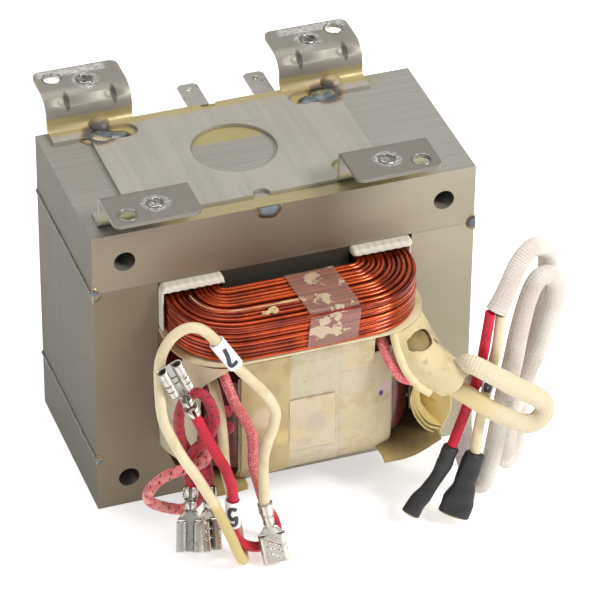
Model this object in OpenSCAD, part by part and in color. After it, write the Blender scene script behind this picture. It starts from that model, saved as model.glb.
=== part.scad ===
// Shell-type high-voltage transformer: a welded E and I core, a stamped mounting plate,
// an enamelled primary over a paper-wrapped secondary, and its insulated leads.
// Millimetres. +X right, -Y towards the lead side, +Z up, origin under the middle of the core.

/* [Core] */
// Width of each outer leg of the laminations
side_leg_w = 19; // [14:0.5:26]
// Width of the centre leg
centre_leg_w = 38; // [30:0.5:50]
// Width of each winding window
window_w = 19; // [16:0.5:24]
// Height of each winding window
window_h = 57; // [54:0.5:66]
// Height of the yoke under the windows
yoke_h = 19; // [14:0.5:26]
// Height of the bar that closes the windows
ibar_h = 19; // [14:0.5:26]
// Depth of the stack of laminations
stack_d = 55; // [48:1:70]
// Diameter of the four corner holes through the stack
core_hole_d = 6.2; // [4:0.1:8]
// Radius of the weld beads along the sides of the stack
bead_r = 1.2; // [0.8:0.1:2]
// Height of the lower weld beads above the underside
stack_weld_z = 18; // [10:0.5:30]

/* [Mounting plate] */
// Thickness of the plate's sheet steel
plate_t = 1.2; // [0.8:0.1:1.6]
// Centre of the plate, sideways from the middle of the core
plate_x = -5.5; // [-9:0.5:9]
// Centre of the plate, backwards from the middle of the core
plate_y = 2; // [-3:0.5:3]
// Width of the flat plate
plate_w = 75; // [68:1:84]
// Depth of the flat plate between its free edges
plate_d = 49; // [47:0.5:51]
// Diameter of the round opening in the plate
vent_d = 25; // [16:1:28]
// Height of the tabs' top faces above the core
foot_h = 11; // [10:0.5:16]
// Width of each tab
tab_w = 25.5; // [22:0.5:28]
// Distance between the middles of the tabs on one side
tab_pitch = 70.5; // [66:0.5:76]
// Distance from the plate's centre to the tabs' upright webs
web_y = 26; // [25.5:0.5:30]
// Distance from the plate's centre to the tabs' outer edges
flange_y = 41; // [40:0.5:48]
// Inside bend radius of the tabs on the lead side
front_bend_r = 1.2; // [0.8:0.1:2]
// Inside bend radius of the tabs on the far side
back_bend_r = 5; // [3:0.25:5.5]
// Diameter of the plain mounting holes
mount_hole_d = 5; // [4:0.1:6]
// Sideways distance between the plain mounting holes
mount_pitch_x = 86; // [84:0.5:88]
// Front to back distance between the plain mounting holes
mount_pitch_y = 73; // [71:0.5:74]
// Diameter of the tapping-screw holes
screw_hole_d = 3.6; // [3:0.1:4]
// Sideways distance between the tapping-screw holes
screw_pitch_x = 68; // [65:0.5:70]
// Front to back distance between the tapping-screw holes
screw_pitch_y = 66.5; // [66:0.5:68]
// Length of the weld slots
slot_l = 14; // [10:0.5:16]
// Width of the weld slots
slot_w = 7; // [5:0.5:8]

/* [Windings] */
// Thickness of the paper liners in the windows
liner_t = 0.8; // [0.5:0.1:1.2]
// How far the primary's liners stand out of the core
liner_out = 3; // [1:0.5:5]
// How far the secondary's liners stand out under the coil
skirt_out = 20; // [6:0.5:22]
// Pitch of the primary's enamelled wire
wire_pitch = 1.36; // [1:0.02:1.8]
// Gap between the stack and the primary's end turns
primary_end_gap = 6.5; // [2:0.5:8]
// Gap between the stack and the secondary's end turns
secondary_end_gap = 3; // [2:0.5:6]
// Height of the secondary coil
secondary_h = 30.5; // [26:0.5:32]
// Diameter of the filament winding's insulated wire
filament_d = 2.8; // [2:0.1:3.4]
// Height of the magnetic shunts
shunt_h = 4.8; // [3:0.2:5.4]
// Thickness of the paper between the coils
divider_t = 0.8; // [0.5:0.1:1.2]
// Thickness of the tapes round the coils
tape_t = 0.4; // [0.2:0.1:0.6]
// Width of the clear tape on the primary
primary_tape_w = 15; // [8:0.5:22]
// Width of the paper tape on the secondary
secondary_tape_w = 45; // [30:1:46]

/* [Terminals] */
// Width of the blade terminals on the far side
blade_w = 6.3; // [4.8:0.1:6.3]
// Length of the blade terminals
blade_l = 12; // [8:0.5:16]
// Thickness of the blade terminals
blade_t = 0.8; // [0.5:0.1:1]
// Width of the receptacles on the leads
receptacle_w = 7.8; // [6:0.1:8]
// Diameter of the insulated leads
lead_d = 3.1; // [2:0.1:3.3]
// Diameter of the woven sleeves
sleeve_d = 5.2; // [4:0.1:5.4]

/* [Hidden] */
$fn = 48;
core_w = centre_leg_w + 2 * window_w + 2 * side_leg_w;
seam_z = yoke_h + window_h;
core_h = seam_z + ibar_h;
hole_x = core_w / 2 - side_leg_w / 2;
low_hole_z = yoke_h / 2;
high_hole_z = seam_z + ibar_h / 2;
window_in = centre_leg_w / 2;
window_out = window_in + window_w;

// Clearances: pieces set in the windows, coils in their liners, and layers on each other
seat_gap = 0.2;
coil_gap = 0.3;
layer_gap = 0.2;

// The coils fill the liners; levels are stacked from the yoke upwards
coil_in_x = window_in + seat_gap + liner_t + coil_gap;
coil_build = window_w - 2 * (seat_gap + liner_t + coil_gap);
coil_corner_r = 4;
primary_corner_r = 1.5;
secondary_z = yoke_h + seat_gap + liner_t + layer_gap;
secondary_top = secondary_z + secondary_h;
secondary_in_y = stack_d / 2 + secondary_end_gap;
secondary_out_y = secondary_in_y + coil_build;
filament_z = secondary_top + tape_t + 2 * layer_gap + filament_d / 2;
filament_x = coil_in_x + coil_build / 2;
filament_y = secondary_in_y + coil_build / 2;
shunt_z = filament_z + filament_d / 2 + layer_gap;
divider_z = shunt_z + shunt_h + layer_gap;
primary_z = divider_z + divider_t + coil_gap;
primary_in_y = stack_d / 2 + primary_end_gap;
liner_ceiling = seam_z - seat_gap - liner_t;
top_slack = 1.2;
primary_layers = floor(coil_build / wire_pitch);
primary_rows = floor((liner_ceiling - top_slack - primary_z) / wire_pitch);
primary_build = primary_layers * wire_pitch;
primary_h = primary_rows * wire_pitch;
primary_out_y = primary_in_y + primary_build;
primary_tape_x = 5.5;
divider_edge = 1.2;
divider_x = window_out - seat_gap;
divider_y = primary_out_y + divider_edge;
burn_d = 6;
tape_sag = 4;
skirt_drop = 14;
curl_gap = 1;
curl_deg = 62;
curl_short = 6;
flare_r = 9;
flare_deg = 60;
flare_h = 14;

// Weld spots, and the plate's small radii
weld_d = slot_w - 2 * coil_gap;
weld_h = 0.7;
slot_x = 30;
slot_y = 18.5;
front_weld_r = 4;
flange_corner_r = 2.5;
root_y = 18.5;
base_bend_r = 2;
bend_root_y = web_y - plate_t - base_bend_r;
dent_x = 7;
dent_r = 4;
dent_depth = 0.6;
collar_d = 5.6;
collar_h = 1.2;
notch_r = 2.5;
blade_pitch = 20.3;
blade_mid_x = 7.7;

// Routes of the leads, from the coils outwards
lead_sides = 8;
CREAM_LEFT = [[-28, -44.5, 52.6], [-28, -47.5, 51], [-28, -50.2, 48.5], [-28, -52.4, 45.5], [-28, -55, 38],
    [-28, -57, 29], [-26.5, -58, 20.5], [-25.5, -59, 11], [-25, -60.5, 5], [-25, -64, 1.8],
    [-26.5, -67, 4], [-28.5, -68.5, 9], [-30, -69, 13.5], [-32, -68.5, 19], [-34, -68, 24.5],
    [-36.5, -67.5, 30], [-39.5, -67, 36.5], [-43, -66, 43], [-46, -65, 50], [-48, -63, 56],
    [-48, -60.5, 63], [-47.5, -58.5, 70], [-46, -57.5, 75], [-43, -57, 79], [-39.5, -57.5, 81.3],
    [-36, -58, 81], [-33.5, -58.5, 79], [-31.5, -59, 76.5], [-28.5, -60, 71.7], [-25.5, -61, 66.9],
    [-21, -62.5, 61.5], [-17.5, -63, 56.5], [-15.5, -63.5, 51.5], [-16, -63.5, 46.5], [-17.5, -63, 41],
    [-18.5, -62.5, 34.5], [-18.5, -62.5, 27], [-18.5, -63.5, 19.7]];
RED_LEFT = [[-24, -39.8, 55.2], [-25, -44, 55.8], [-25.5, -48.5, 55.5], [-25, -52, 52.5], [-24, -54, 49],
    [-22, -55, 45], [-20, -55.5, 40], [-19.5, -56, 35], [-19.5, -56.5, 28.5], [-18, -56.5, 21],
    [-16, -56.5, 13.5], [-13.5, -57, 7.5], [-13, -58.5, 4], [-14.5, -60.5, 2.4], [-18, -62, 3],
    [-21.5, -63.5, 4.5], [-25, -64.3, 7], [-27.5, -64.8, 10.5], [-28.5, -65, 14.5], [-28.5, -65, 19.5],
    [-28.5, -65, 25], [-29, -65, 30], [-30.5, -64.5, 35.5], [-33, -63.5, 41], [-35.5, -62.5, 47],
    [-37.5, -61.5, 52], [-38.5, -61, 54.5]];
BRAID_A = [[-23.8, -48.4, 37], [-26, -50.2, 37.3], [-28.5, -50.8, 36.3], [-31.5, -53.4, 34.6],
    [-34.5, -57.4, 34.2], [-38, -59.6, 35], [-41.5, -60.2, 35], [-45, -59.5, 33.8], [-48, -58.5, 31.5],
    [-50, -57, 28], [-50.5, -55.5, 24], [-48.5, -54, 20], [-44, -52.5, 16.2], [-39, -52, 14],
    [-35.5, -52.5, 16], [-33.5, -53.5, 20.5], [-33, -53.5, 25], [-34.2, -52.4, 29.5], [-37.5, -51.6, 34.5],
    [-40, -53.5, 41], [-41, -55, 48.5], [-40, -55.5, 54], [-37, -56, 57.5], [-34, -56.8, 56.5],
    [-32, -57.5, 52], [-31.5, -57.8, 47], [-33.5, -57, 41.5], [-36.8, -55.2, 36.3], [-38.3, -55.6, 31],
    [-38.5, -57.5, 26]];
BRAID_B = [[-24, -48.4, 42.5], [-26.5, -48.9, 43.4], [-30, -49.4, 42.2], [-32.3, -50, 38],
    [-32.3, -49.8, 33], [-31.5, -49.5, 28], [-30.6, -49.3, 23], [-30.5, -49.3, 18]];
RED_INNER = [[22, -40.6, 55.2], [22, -45, 55.6], [22.3, -49.5, 53.5], [23.5, -52.5, 50], [25.5, -54, 47],
    [28.5, -54.8, 45.5], [32, -54.5, 43.5], [35, -54, 41.5], [37.5, -53.5, 40]];
SLEEVE_TIE = [[29, -43, 56.4], [29, -47, 55.8], [30, -51, 53.5], [31.5, -54.5, 50.5], [34.5, -58, 47.5],
    [37.5, -60, 45.5], [40.5, -62, 44], [44.5, -64, 41], [48.5, -65, 37.5], [54.5, -66, 33.5],
    [59, -66.3, 30.5], [62.5, -66.3, 30.5], [65, -66.2, 33], [65, -66, 36.5], [62, -66, 39.8],
    [57, -66, 43.5], [51, -66, 48.5], [46, -65.8, 52.5], [42.5, -64, 54.5], [41.5, -61, 52.5],
    [43.2, -57.2, 47], [45, -55, 42]];
SLEEVE_FOLDED = [[45.3, -54.7, 41.2], [44.8, -54.2, 34.5], [44.5, -54, 27], [45.5, -54, 17.5],
    [47, -55.5, 9], [49.3, -57.5, 3.6], [51.5, -58.8, 9.5], [54, -58.5, 24], [56, -58, 36],
    [58, -57.5, 45.5], [60, -57, 57.5], [62.5, -56.5, 68], [65.5, -56, 73.8], [69.5, -54.8, 73],
    [72, -53.8, 67.5], [71.5, -53, 60.5], [69, -52.5, 48.5], [65, -52, 37.5], [61.5, -51, 24],
    [60.5, -50.5, 12.5], [60.5, -49.8, 6], [62.5, -47.8, 3.4], [64.5, -46, 6], [65.5, -45.5, 13],
    [66.5, -45.5, 23], [69, -45.8, 37], [71, -46.3, 51.5], [72, -47, 64.5], [71, -49, 76],
    [66.5, -52.5, 82], [61.5, -56.5, 83.8], [57.5, -58.5, 80.5], [54.5, -60, 75], [51, -61, 68.5]];
RED_RIGHT = [[49.1, -61.1, 68.7], [48.3, -61, 61.5], [47.7, -60.5, 54], [47, -59.6, 46],
    [45, -59.5, 39.5], [43, -59.7, 33.5], [41, -60.3, 28.5], [39, -61, 24]];
CREAM_RIGHT = [[52.4, -61.1, 67.2], [52, -61.3, 62.5], [51.5, -61, 55], [50.5, -60.3, 47.5],
    [49.5, -60.3, 41.5], [48, -60.8, 34.5], [46.5, -62, 28.5], [45.5, -63, 21.5]];

// Where the receptacles, boots and markers sit on their leads, and which way they point
RED_TERMINAL = [[-38.5, -61, 54.5], [-6, 12, 13], 215];
BRAID_A_TERMINAL = [[-38.5, -57.5, 26], [-4, -11, -16], 90];
BRAID_B_TERMINAL = [[-30.5, -49.3, 18], [-2, -10, -16], 60];
CREAM_TERMINAL = [[-18.5, -63.5, 19.7], [2, -4.5, -17.5], 270];
RED_BOOT = [[39, -61, 24], [36, -61.2, 16.5], [32, -62, 11], [28, -63, 7.5], [25.5, -63.8, 4]];
RED_BOOT_WIDTHS = [4, 4, 3.2, 4.2, 4.6];
CREAM_BOOT = [[45.5, -63, 21.5], [37.5, -67.3, 3.2], 55];
CREAM_MARKER = [[-31.2, -59.1, 76], [-26.1, -60.8, 67.9]];
RED_MARKER = [[-28.5, -65, 15.5], [-28.5, -65, 24.5]];
RIGHT_MARKER = [[50.4, -60.3, 46.9], [49.6, -60.3, 42.1]];

// Receptacle proportions along its length, crimps first
crimp_l = 3.4;
crimp_gap = 0.6;
neck_l = 2.6;
socket_l = 8.4;
sheet_t = 0.5;
roll_d = 2.6;
grip_d = 2.4;
wire_grip_d = 1.9;
strip_w = 2.4;
socket_z = 2 * crimp_l + crimp_gap + neck_l;
latch_w = 1.6;
crimp_spread = 0.4;
marker_gap = 0.2;
marker_wall = 0.5;
boot_wall = 0.6;
boot_neck_l = 11.2;
boot_taper_l = 2;
boot_taper_w = 1;

// Helpers

function unit(v) = v / norm(v);

// Direction of a route at each of its points
function tangents(path) = [for (i = [0 : len(path) - 1])
    unit(path[min(i + 1, len(path) - 1)] - path[max(i - 1, 0)])];

// A normal carried along the route without twisting
function carried(dirs, side, i = 0) = i == len(dirs) ? [] :
    let (n = unit(side - (side * dirs[i]) * dirs[i])) concat([n], carried(dirs, n, i + 1));

function starting_side(dir) = abs(dir[2]) < 0.9 ? [0, 0, 1] : [1, 0, 0];

// A round tube swept along a route as one closed solid, with one width or a width at each point
module swept_tube(path, d) {
    dirs = tangents(path);
    sides = carried(dirs, starting_side(dirs[0]));
    rings = len(path);
    points = [for (i = [0 : rings - 1]) for (k = [0 : lead_sides - 1])
        let (a = 360 * k / lead_sides)
        path[i] + (is_list(d) ? d[i] : d) / 2 * (cos(a) * sides[i] + sin(a) * cross(dirs[i], sides[i]))];
    walls = [for (i = [0 : rings - 2]) for (k = [0 : lead_sides - 1])
        let (a = i * lead_sides + k, b = i * lead_sides + (k + 1) % lead_sides)
        each [[a, a + lead_sides, b], [b, a + lead_sides, b + lead_sides]]];
    first = [for (k = [0 : lead_sides - 1]) k];
    last = [for (k = [lead_sides - 1 : -1 : 0]) (rings - 1) * lead_sides + k];
    polyhedron(points, concat(walls, [first, last]));
}

// Turns local +Z to a direction, with a roll about it, and moves it to a point
module aimed(at, dir, roll = 0) {
    d = unit(dir);
    translate(at) rotate([0, acos(d[2]), atan2(d[1], d[0])]) rotate([0, 0, roll]) children();
}

// A flat section swept round the centre leg, with rounded corners
module wound(in_x, in_y, r) {
    for (turn = [0, 180]) {
        rotate(turn) translate([in_x, 0, 0]) rotate([90, 0, 0])
            linear_extrude(2 * (in_y - r), center = true) children();
        rotate(turn + 90) translate([in_y, 0, 0]) rotate([90, 0, 0])
            linear_extrude(2 * (in_x - r), center = true) children();
    }
    for (sx = [1, -1]) for (sy = [1, -1])
        translate([sx * (in_x - r), sy * (in_y - r), 0])
            rotate(sx > 0 ? (sy > 0 ? 0 : 270) : (sy > 0 ? 90 : 180))
                rotate_extrude(angle = 90) translate([r, 0]) children();
}

// Outline of stacked round wires: plain inside and below, ridged on the outer side and on top
function ridge(centre, from, to) = let (steps = round((to - from) / 40)) [for (k = [0 : steps])
    let (a = from + (to - from) * k / steps) centre + wire_pitch / 2 * [cos(a), sin(a)]];
function wire_stack(layers, rows) = concat(
    [[0, 0], [(layers - 0.5) * wire_pitch, 0]],
    [for (i = [0 : rows - 2]) each ridge([layers - 0.5, i + 0.5] * wire_pitch, -60, 60)],
    ridge([layers - 0.5, rows - 0.5] * wire_pitch, -60, 150),
    [for (j = [layers - 2 : -1 : 0]) each ridge([j + 0.5, rows - 0.5] * wire_pitch, 30, 150)],
    [[0, (rows - 0.5) * wire_pitch]]);

// A rectangle with rounded corners, about the middle
module rounded_rect(w, d, r) {
    square([w - 2 * r, d], center = true);
    square([w, d - 2 * r], center = true);
    for (sx = [1, -1]) for (sy = [1, -1])
        translate([sx * (w / 2 - r), sy * (d / 2 - r)]) circle(r);
}

// A thin sheet through rows of points, thickened by one offset
module draped(rows, drop) {
    n = len(rows);
    m = len(rows[0]);
    upper = [for (row = rows) each row];
    lower = [for (p = upper) p + drop];
    below = n * m;
    top = [for (i = [0 : n - 2]) for (j = [0 : m - 2]) let (a = i * m + j)
        each [[a, a + 1, a + m], [a + 1, a + m + 1, a + m]]];
    rim = concat([for (j = [0 : m - 2]) [j, j + 1]],
        [for (i = [0 : n - 2]) [i * m + m - 1, (i + 1) * m + m - 1]],
        [for (j = [0 : m - 2]) [(n - 1) * m + j + 1, (n - 1) * m + j]],
        [for (i = [0 : n - 2]) [(i + 1) * m, i * m]]);
    polyhedron(concat(upper, lower), concat(top,
        [for (f = top) [f[2] + below, f[1] + below, f[0] + below]],
        [for (e = rim) each [[e[1], e[0], e[0] + below], [e[1], e[0] + below, e[1] + below]]]));
}

// Core

module through_hole(x, z) {
    translate([x, 0, z]) rotate([90, 0, 0]) cylinder(d = core_hole_d, h = 2 * stack_d, center = true);
}

module core_e_stack() color([0.55, 0.54, 0.5]) difference() {
    translate([-core_w / 2, -stack_d / 2, 0]) cube([core_w, stack_d, seam_z]);
    for (side = [1, -1])
        translate([side * (window_in + window_w / 2) - window_w / 2, -stack_d, yoke_h])
            cube([window_w, 2 * stack_d, window_h + 1]);
    for (side = [1, -1]) through_hole(side * hole_x, low_hole_z);
}

module core_i_stack() color([0.57, 0.56, 0.52]) difference() {
    translate([-core_w / 2, -stack_d / 2, seam_z]) cube([core_w, stack_d, ibar_h]);
    for (side = [1, -1]) through_hole(side * hole_x, high_hole_z);
}

// A weld bead along one side of the stack
module side_bead(side, z) {
    color([0.42, 0.4, 0.37]) intersection() {
        translate([side * core_w / 2, 0, z]) rotate([90, 0, 0])
            cylinder(r = bead_r, h = stack_d, center = true);
        translate([side > 0 ? core_w / 2 : -core_w / 2 - 2 * bead_r, -stack_d, z - 2 * bead_r])
            cube([2 * bead_r, 2 * stack_d, 4 * bead_r]);
    }
}

module seam_weld_left() side_bead(-1, seam_z);
module seam_weld_right() side_bead(1, seam_z);
module stack_weld_left() side_bead(-1, stack_weld_z);
module stack_weld_right() side_bead(1, stack_weld_z);

// Mounting plate, drawn about its own centre with its underside at zero

module plate_outline() {
    edge = plate_w / 2;
    fillet = 3;
    difference() {
        union() {
            square([plate_w, 2 * root_y], center = true);
            square([tab_pitch - tab_w, plate_d], center = true);
            for (sx = [1, -1]) for (sy = [1, -1]) {
                translate([sx * tab_pitch / 2 - tab_w / 2, sy > 0 ? root_y : -bend_root_y])
                    square([tab_w, bend_root_y - root_y]);
                translate([sx > 0 ? edge : -edge - fillet, sy > 0 ? root_y - fillet : -root_y])
                    square(fillet);
            }
        }
        for (sx = [1, -1]) for (sy = [1, -1])
            translate([sx * (edge + fillet), sy * (root_y - fillet)]) circle(fillet);
        circle(d = vent_d);
        for (sy = [1, -1]) translate([0, sy * plate_d / 2]) circle(notch_r);
        for (sx = [1, -1]) for (sy = [1, -1]) translate([sx * slot_x, sy * slot_y]) slot_outline();
    }
}

module slot_outline() {
    square([slot_l - slot_w, slot_w], center = true);
    for (s = [1, -1]) translate([s * (slot_l - slot_w) / 2, 0]) circle(d = slot_w);
}

// A quarter bend of the sheet about an axis along X: quarter 0 runs down to outwards, 1 up to inwards
module quarter_bend(y, z, r, up) {
    translate([-tab_w / 2, y, z]) intersection() {
        rotate([0, 90, 0]) difference() {
            cylinder(r = r + plate_t, h = tab_w);
            translate([0, 0, -1]) cylinder(r = r, h = tab_w + 2);
        }
        translate([-1, up ? -2 * (r + plate_t) : 0, up ? 0 : -2 * (r + plate_t)])
            cube([tab_w + 2, 2 * (r + plate_t), 2 * (r + plate_t)]);
    }
}

// One tab: bent up from the plate, then outwards along +Y
module foot_tab(bend_r) {
    low_z = plate_t + base_bend_r;
    high_y = web_y + bend_r;
    high_z = foot_h - plate_t - bend_r;
    quarter_bend(bend_root_y, low_z, base_bend_r, false);
    translate([-tab_w / 2, web_y - plate_t, low_z]) cube([tab_w, plate_t, high_z - low_z]);
    quarter_bend(high_y, high_z, bend_r, true);
    translate([0, high_y, foot_h - plate_t]) linear_extrude(plate_t) flange_outline(flange_y - high_y);
}

module flange_outline(l) {
    translate([-tab_w / 2, 0]) square([tab_w, l - flange_corner_r]);
    translate([-tab_w / 2 + flange_corner_r, 0]) square([tab_w - 2 * flange_corner_r, l]);
    for (s = [1, -1])
        translate([s * (tab_w / 2 - flange_corner_r), l - flange_corner_r]) circle(flange_corner_r);
}

module screw_collar(x, y) {
    translate([x, y, foot_h - plate_t - collar_h]) cylinder(d = collar_d, h = collar_h);
}

// Stiffening dents pressed into the large bends of the far tabs
module bend_dents() {
    bend_y = web_y + back_bend_r;
    bend_z = foot_h - plate_t - back_bend_r;
    reach = (back_bend_r + plate_t + dent_r - dent_depth) * sqrt(0.5);
    for (sx = [1, -1]) for (s = [1, -1])
        translate([sx * tab_pitch / 2 + s * dent_x, bend_y - reach, bend_z + reach]) sphere(dent_r);
}

module mounting_plate() color([0.68, 0.66, 0.62]) translate([plate_x, plate_y, core_h]) difference() {
    union() {
        linear_extrude(plate_t) plate_outline();
        for (sx = [1, -1]) {
            translate([sx * tab_pitch / 2, 0, 0]) foot_tab(back_bend_r);
            translate([sx * tab_pitch / 2, 0, 0]) mirror([0, 1, 0]) foot_tab(front_bend_r);
        }
        for (sx = [1, -1]) for (sy = [1, -1]) screw_collar(sx * screw_pitch_x / 2, sy * screw_pitch_y / 2);
    }
    bend_dents();
    for (sx = [1, -1]) for (sy = [1, -1]) {
        translate([sx * mount_pitch_x / 2, sy * mount_pitch_y / 2, foot_h / 2])
            cylinder(d = mount_hole_d, h = foot_h);
        translate([sx * screw_pitch_x / 2, sy * screw_pitch_y / 2, foot_h / 2])
            cylinder(d = screw_hole_d, h = foot_h);
    }
}

// Weld puddles in the plate's slots
module plate_welds() color([0.3, 0.33, 0.38]) translate([plate_x, plate_y, core_h])
    for (sx = [1, -1]) for (sy = [1, -1])
        translate([sx * (slot_x + (slot_l - slot_w) / 2), sy * slot_y, 0]) cylinder(d = weld_d, h = weld_h);

// Weld spot on the core's front, against its top edge
module front_weld() color([0.4, 0.4, 0.42]) intersection() {
    cap_r = (front_weld_r * front_weld_r + weld_h * weld_h) / (2 * weld_h);
    translate([plate_x, -stack_d / 2 - weld_h + cap_r, core_h]) sphere(cap_r, $fn = 96);
    translate([-core_w / 2, -stack_d / 2 - front_weld_r, core_h - 2 * front_weld_r])
        cube([core_w, front_weld_r, 2 * front_weld_r]);
}

// Blade terminals, lying behind the plate's far edge on the core
module blade(x) {
    tip = blade_w / 6;
    y0 = plate_y + plate_d / 2 + seat_gap;
    color([0.8, 0.79, 0.74]) translate([x, y0, core_h]) difference() {
        linear_extrude(blade_t) polygon([[-blade_w / 2, 0], [blade_w / 2, 0], [blade_w / 2, blade_l - tip],
            [blade_w / 2 - tip, blade_l], [-blade_w / 2 + tip, blade_l], [-blade_w / 2, blade_l - tip]]);
        translate([0, blade_l - blade_w / 2, blade_t]) sphere(blade_w / 8);
    }
}

module blade_left() blade(plate_x + blade_mid_x - blade_pitch / 2);
module blade_right() blade(plate_x + blade_mid_x + blade_pitch / 2);

// Windings

module primary_coil() color([0.75, 0.25, 0.08]) translate([0, 0, primary_z])
    wound(coil_in_x, primary_in_y, primary_corner_r) polygon(wire_stack(primary_layers, primary_rows));

// Paper folded round three sides of a coil in its window, open below or above.
// The wall beside the centre leg ends flush with the stack, to clear the end turns.
module window_liner(side, z, h, out, open_below) {
    w = window_w - 2 * seat_gap;
    color([0.93, 0.89, 0.78]) translate([side * (window_in + window_w / 2), 0, z]) {
        translate([side > 0 ? w / 2 - liner_t : -w / 2, -stack_d / 2 - out, 0])
            cube([liner_t, stack_d + 2 * out, h]);
        translate([side > 0 ? -w / 2 : w / 2 - liner_t, -stack_d / 2, 0]) cube([liner_t, stack_d, h]);
        translate([-w / 2, -stack_d / 2 - out, open_below ? h - liner_t : 0])
            cube([w, stack_d + 2 * out, liner_t]);
    }
}

module primary_liner(side)
    window_liner(side, primary_z, liner_ceiling + liner_t - primary_z, liner_out, true);
module primary_liner_left() primary_liner(-1);
module primary_liner_right() primary_liner(1);

// Clear tape over the top and the front of the primary
module primary_tape() {
    y = -primary_out_y - layer_gap - tape_t;
    top = primary_z + primary_h + layer_gap;
    color([0.85, 0.75, 0.55, 0.6]) translate([primary_tape_x - primary_tape_w / 2, y, 0]) {
        translate([0, 0, top]) cube([primary_tape_w, primary_build + tape_t + layer_gap, tape_t]);
        translate([0, 0, primary_z]) cube([primary_tape_w, tape_t, top + tape_t - primary_z]);
    }
}

// Paper between the coils, with the centre leg through it
module coil_divider() color([0.92, 0.87, 0.72])
    translate([0, 0, divider_z]) linear_extrude(divider_t) difference() {
    rounded_rect(2 * divider_x, 2 * divider_y, coil_build);
    square([2 * (window_in + seat_gap), stack_d + 2 * seat_gap], center = true);
    for (side = [1, -1]) translate([side * (window_out + side_leg_w / 2), 0])
        square([side_leg_w + 2 * seat_gap, stack_d + 2 * seat_gap], center = true);
}

// Corners of the divider, folded down beside the leads: rows of points from the divider's own corner
module divider_flap_left() color([0.9, 0.84, 0.7]) {
    corner = [-divider_x, -divider_y, divider_z - layer_gap];
    rows = [[[2.5, 10, 0], [6, 4.5, 0], [11.5, 1.2, 0], [16, 0.3, 0]],
        [[0.3, 9, -5], [4, 3, -4.5], [10, 0, -4.5], [15, -0.6, -4]],
        [[-1.2, 9.5, -12], [3, 3.5, -11.5], [9, 0, -8.5], [13.5, -1, -7]]];
    draped([for (row = rows) [for (p = row) corner + p]], liner_t * unit([1, 2, -0.5]));
}

// The right-hand one drapes over the sleeve like a cone, with a burnt hole above the lead
module divider_flap_right() color([0.92, 0.87, 0.72]) {
    corner = [divider_x, -divider_y, divider_z - layer_gap];
    rows = [[[-13.3, 2, 0], [-9.8, 2.7, 0], [-5.8, 5, 0], [-2.3, 9, 0]],
        [[-12.3, -1.5, -4], [-8.3, -2, -2.7], [-3.8, 1, -3.8], [-0.8, 5.5, -4.8]],
        [[-9.8, -4, -9], [-6.3, -6, -6.8], [-1.8, -4.5, -6.8], [1.2, 0.5, -9.8]],
        [[-7.8, -6.5, -12.8], [-3.3, -9.5, -8.8], [0.2, -9.5, -9.3], [2.2, -4.5, -11.8]]];
    burn_at = [-9, -1.5, -4];
    difference() {
        draped([for (row = rows) [for (p = row) corner + p]], liner_t * unit([0.1, 0.6, -0.8]));
        aimed(corner + burn_at, [0.1, -0.6, 0.8]) cylinder(d = burn_d, h = 2 * burn_d, center = true);
    }
}

// Magnetic shunts between the coils
module shunt(side) color([0.45, 0.33, 0.18])
    translate([side * (window_in + window_w / 2), 0, shunt_z + shunt_h / 2])
        cube([window_w - 2 * seat_gap, stack_d, shunt_h], center = true);
module shunt_left() shunt(-1);
module shunt_right() shunt(1);

module filament_winding() color([0.8, 0.2, 0.25]) translate([0, 0, filament_z])
    wound(filament_x, filament_y, 3 * filament_d) circle(d = filament_d);

module secondary_coil() color([0.35, 0.1, 0.1]) translate([0, 0, secondary_z])
    wound(coil_in_x, secondary_in_y, coil_corner_r) {
        bevel = 1;
        polygon([[0, 0], [coil_build - bevel, 0], [coil_build, bevel], [coil_build, secondary_h - bevel],
            [coil_build - bevel, secondary_h], [0, secondary_h]]);
    }

// Paper tape wrapped over one end of the secondary, slack underneath
module secondary_tape(dir) {
    lap = coil_build / 2;
    inside = secondary_out_y + layer_gap;
    low = secondary_z - layer_gap - tape_t - tape_sag;
    h = secondary_h + 2 * (layer_gap + tape_t) + tape_sag;
    color([0.88, 0.82, 0.66]) mirror([0, dir > 0 ? 0 : 1, 0]) difference() {
        translate([-secondary_tape_w / 2, inside - lap, low]) cube([secondary_tape_w, lap + tape_t, h]);
        translate([-secondary_tape_w, 0, low + tape_t]) cube([2 * secondary_tape_w, inside, h - 2 * tape_t]);
    }
}
module secondary_tape_front() secondary_tape(-1);
module secondary_tape_back() secondary_tape(1);

// Liner of the secondary, with a skirt at each end that slopes down beside the paper tape
module secondary_liner(side) {
    inner = secondary_tape_w / 2 + seat_gap;
    start = stack_d / 2 + liner_out - liner_t / 2;
    window_liner(side, yoke_h + seat_gap, secondary_h, liner_out, false);
    for (dir = [1, -1])
        color([0.85, 0.8, 0.62]) mirror([side > 0 ? 0 : 1, 0, 0]) mirror([0, dir > 0 ? 0 : 1, 0])
            translate([inner, start, yoke_h + seat_gap]) rotate([-skirt_drop, 0, 0])
                cube([window_out - seat_gap - inner, stack_d / 2 + skirt_out - start, liner_t]);
}
module secondary_liner_left() {
    secondary_liner(-1);
    liner_curl(-1);
}
module secondary_liner_right() secondary_liner(1);

// Liner paper that curls round the secondary's corner under the leads
module liner_curl(side) {
    r = coil_corner_r + coil_build + curl_gap;
    from = asin((stack_d / 2 + liner_out + seat_gap - secondary_in_y + coil_corner_r) / r);
    color([0.9, 0.85, 0.68]) mirror([side > 0 ? 0 : 1, 0, 0])
        translate([coil_in_x - coil_corner_r, -secondary_in_y + coil_corner_r, secondary_z])
            rotate(-curl_deg) rotate_extrude(angle = curl_deg - from)
                translate([r, curl_gap]) square([liner_t, secondary_h - curl_short]);
}

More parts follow.
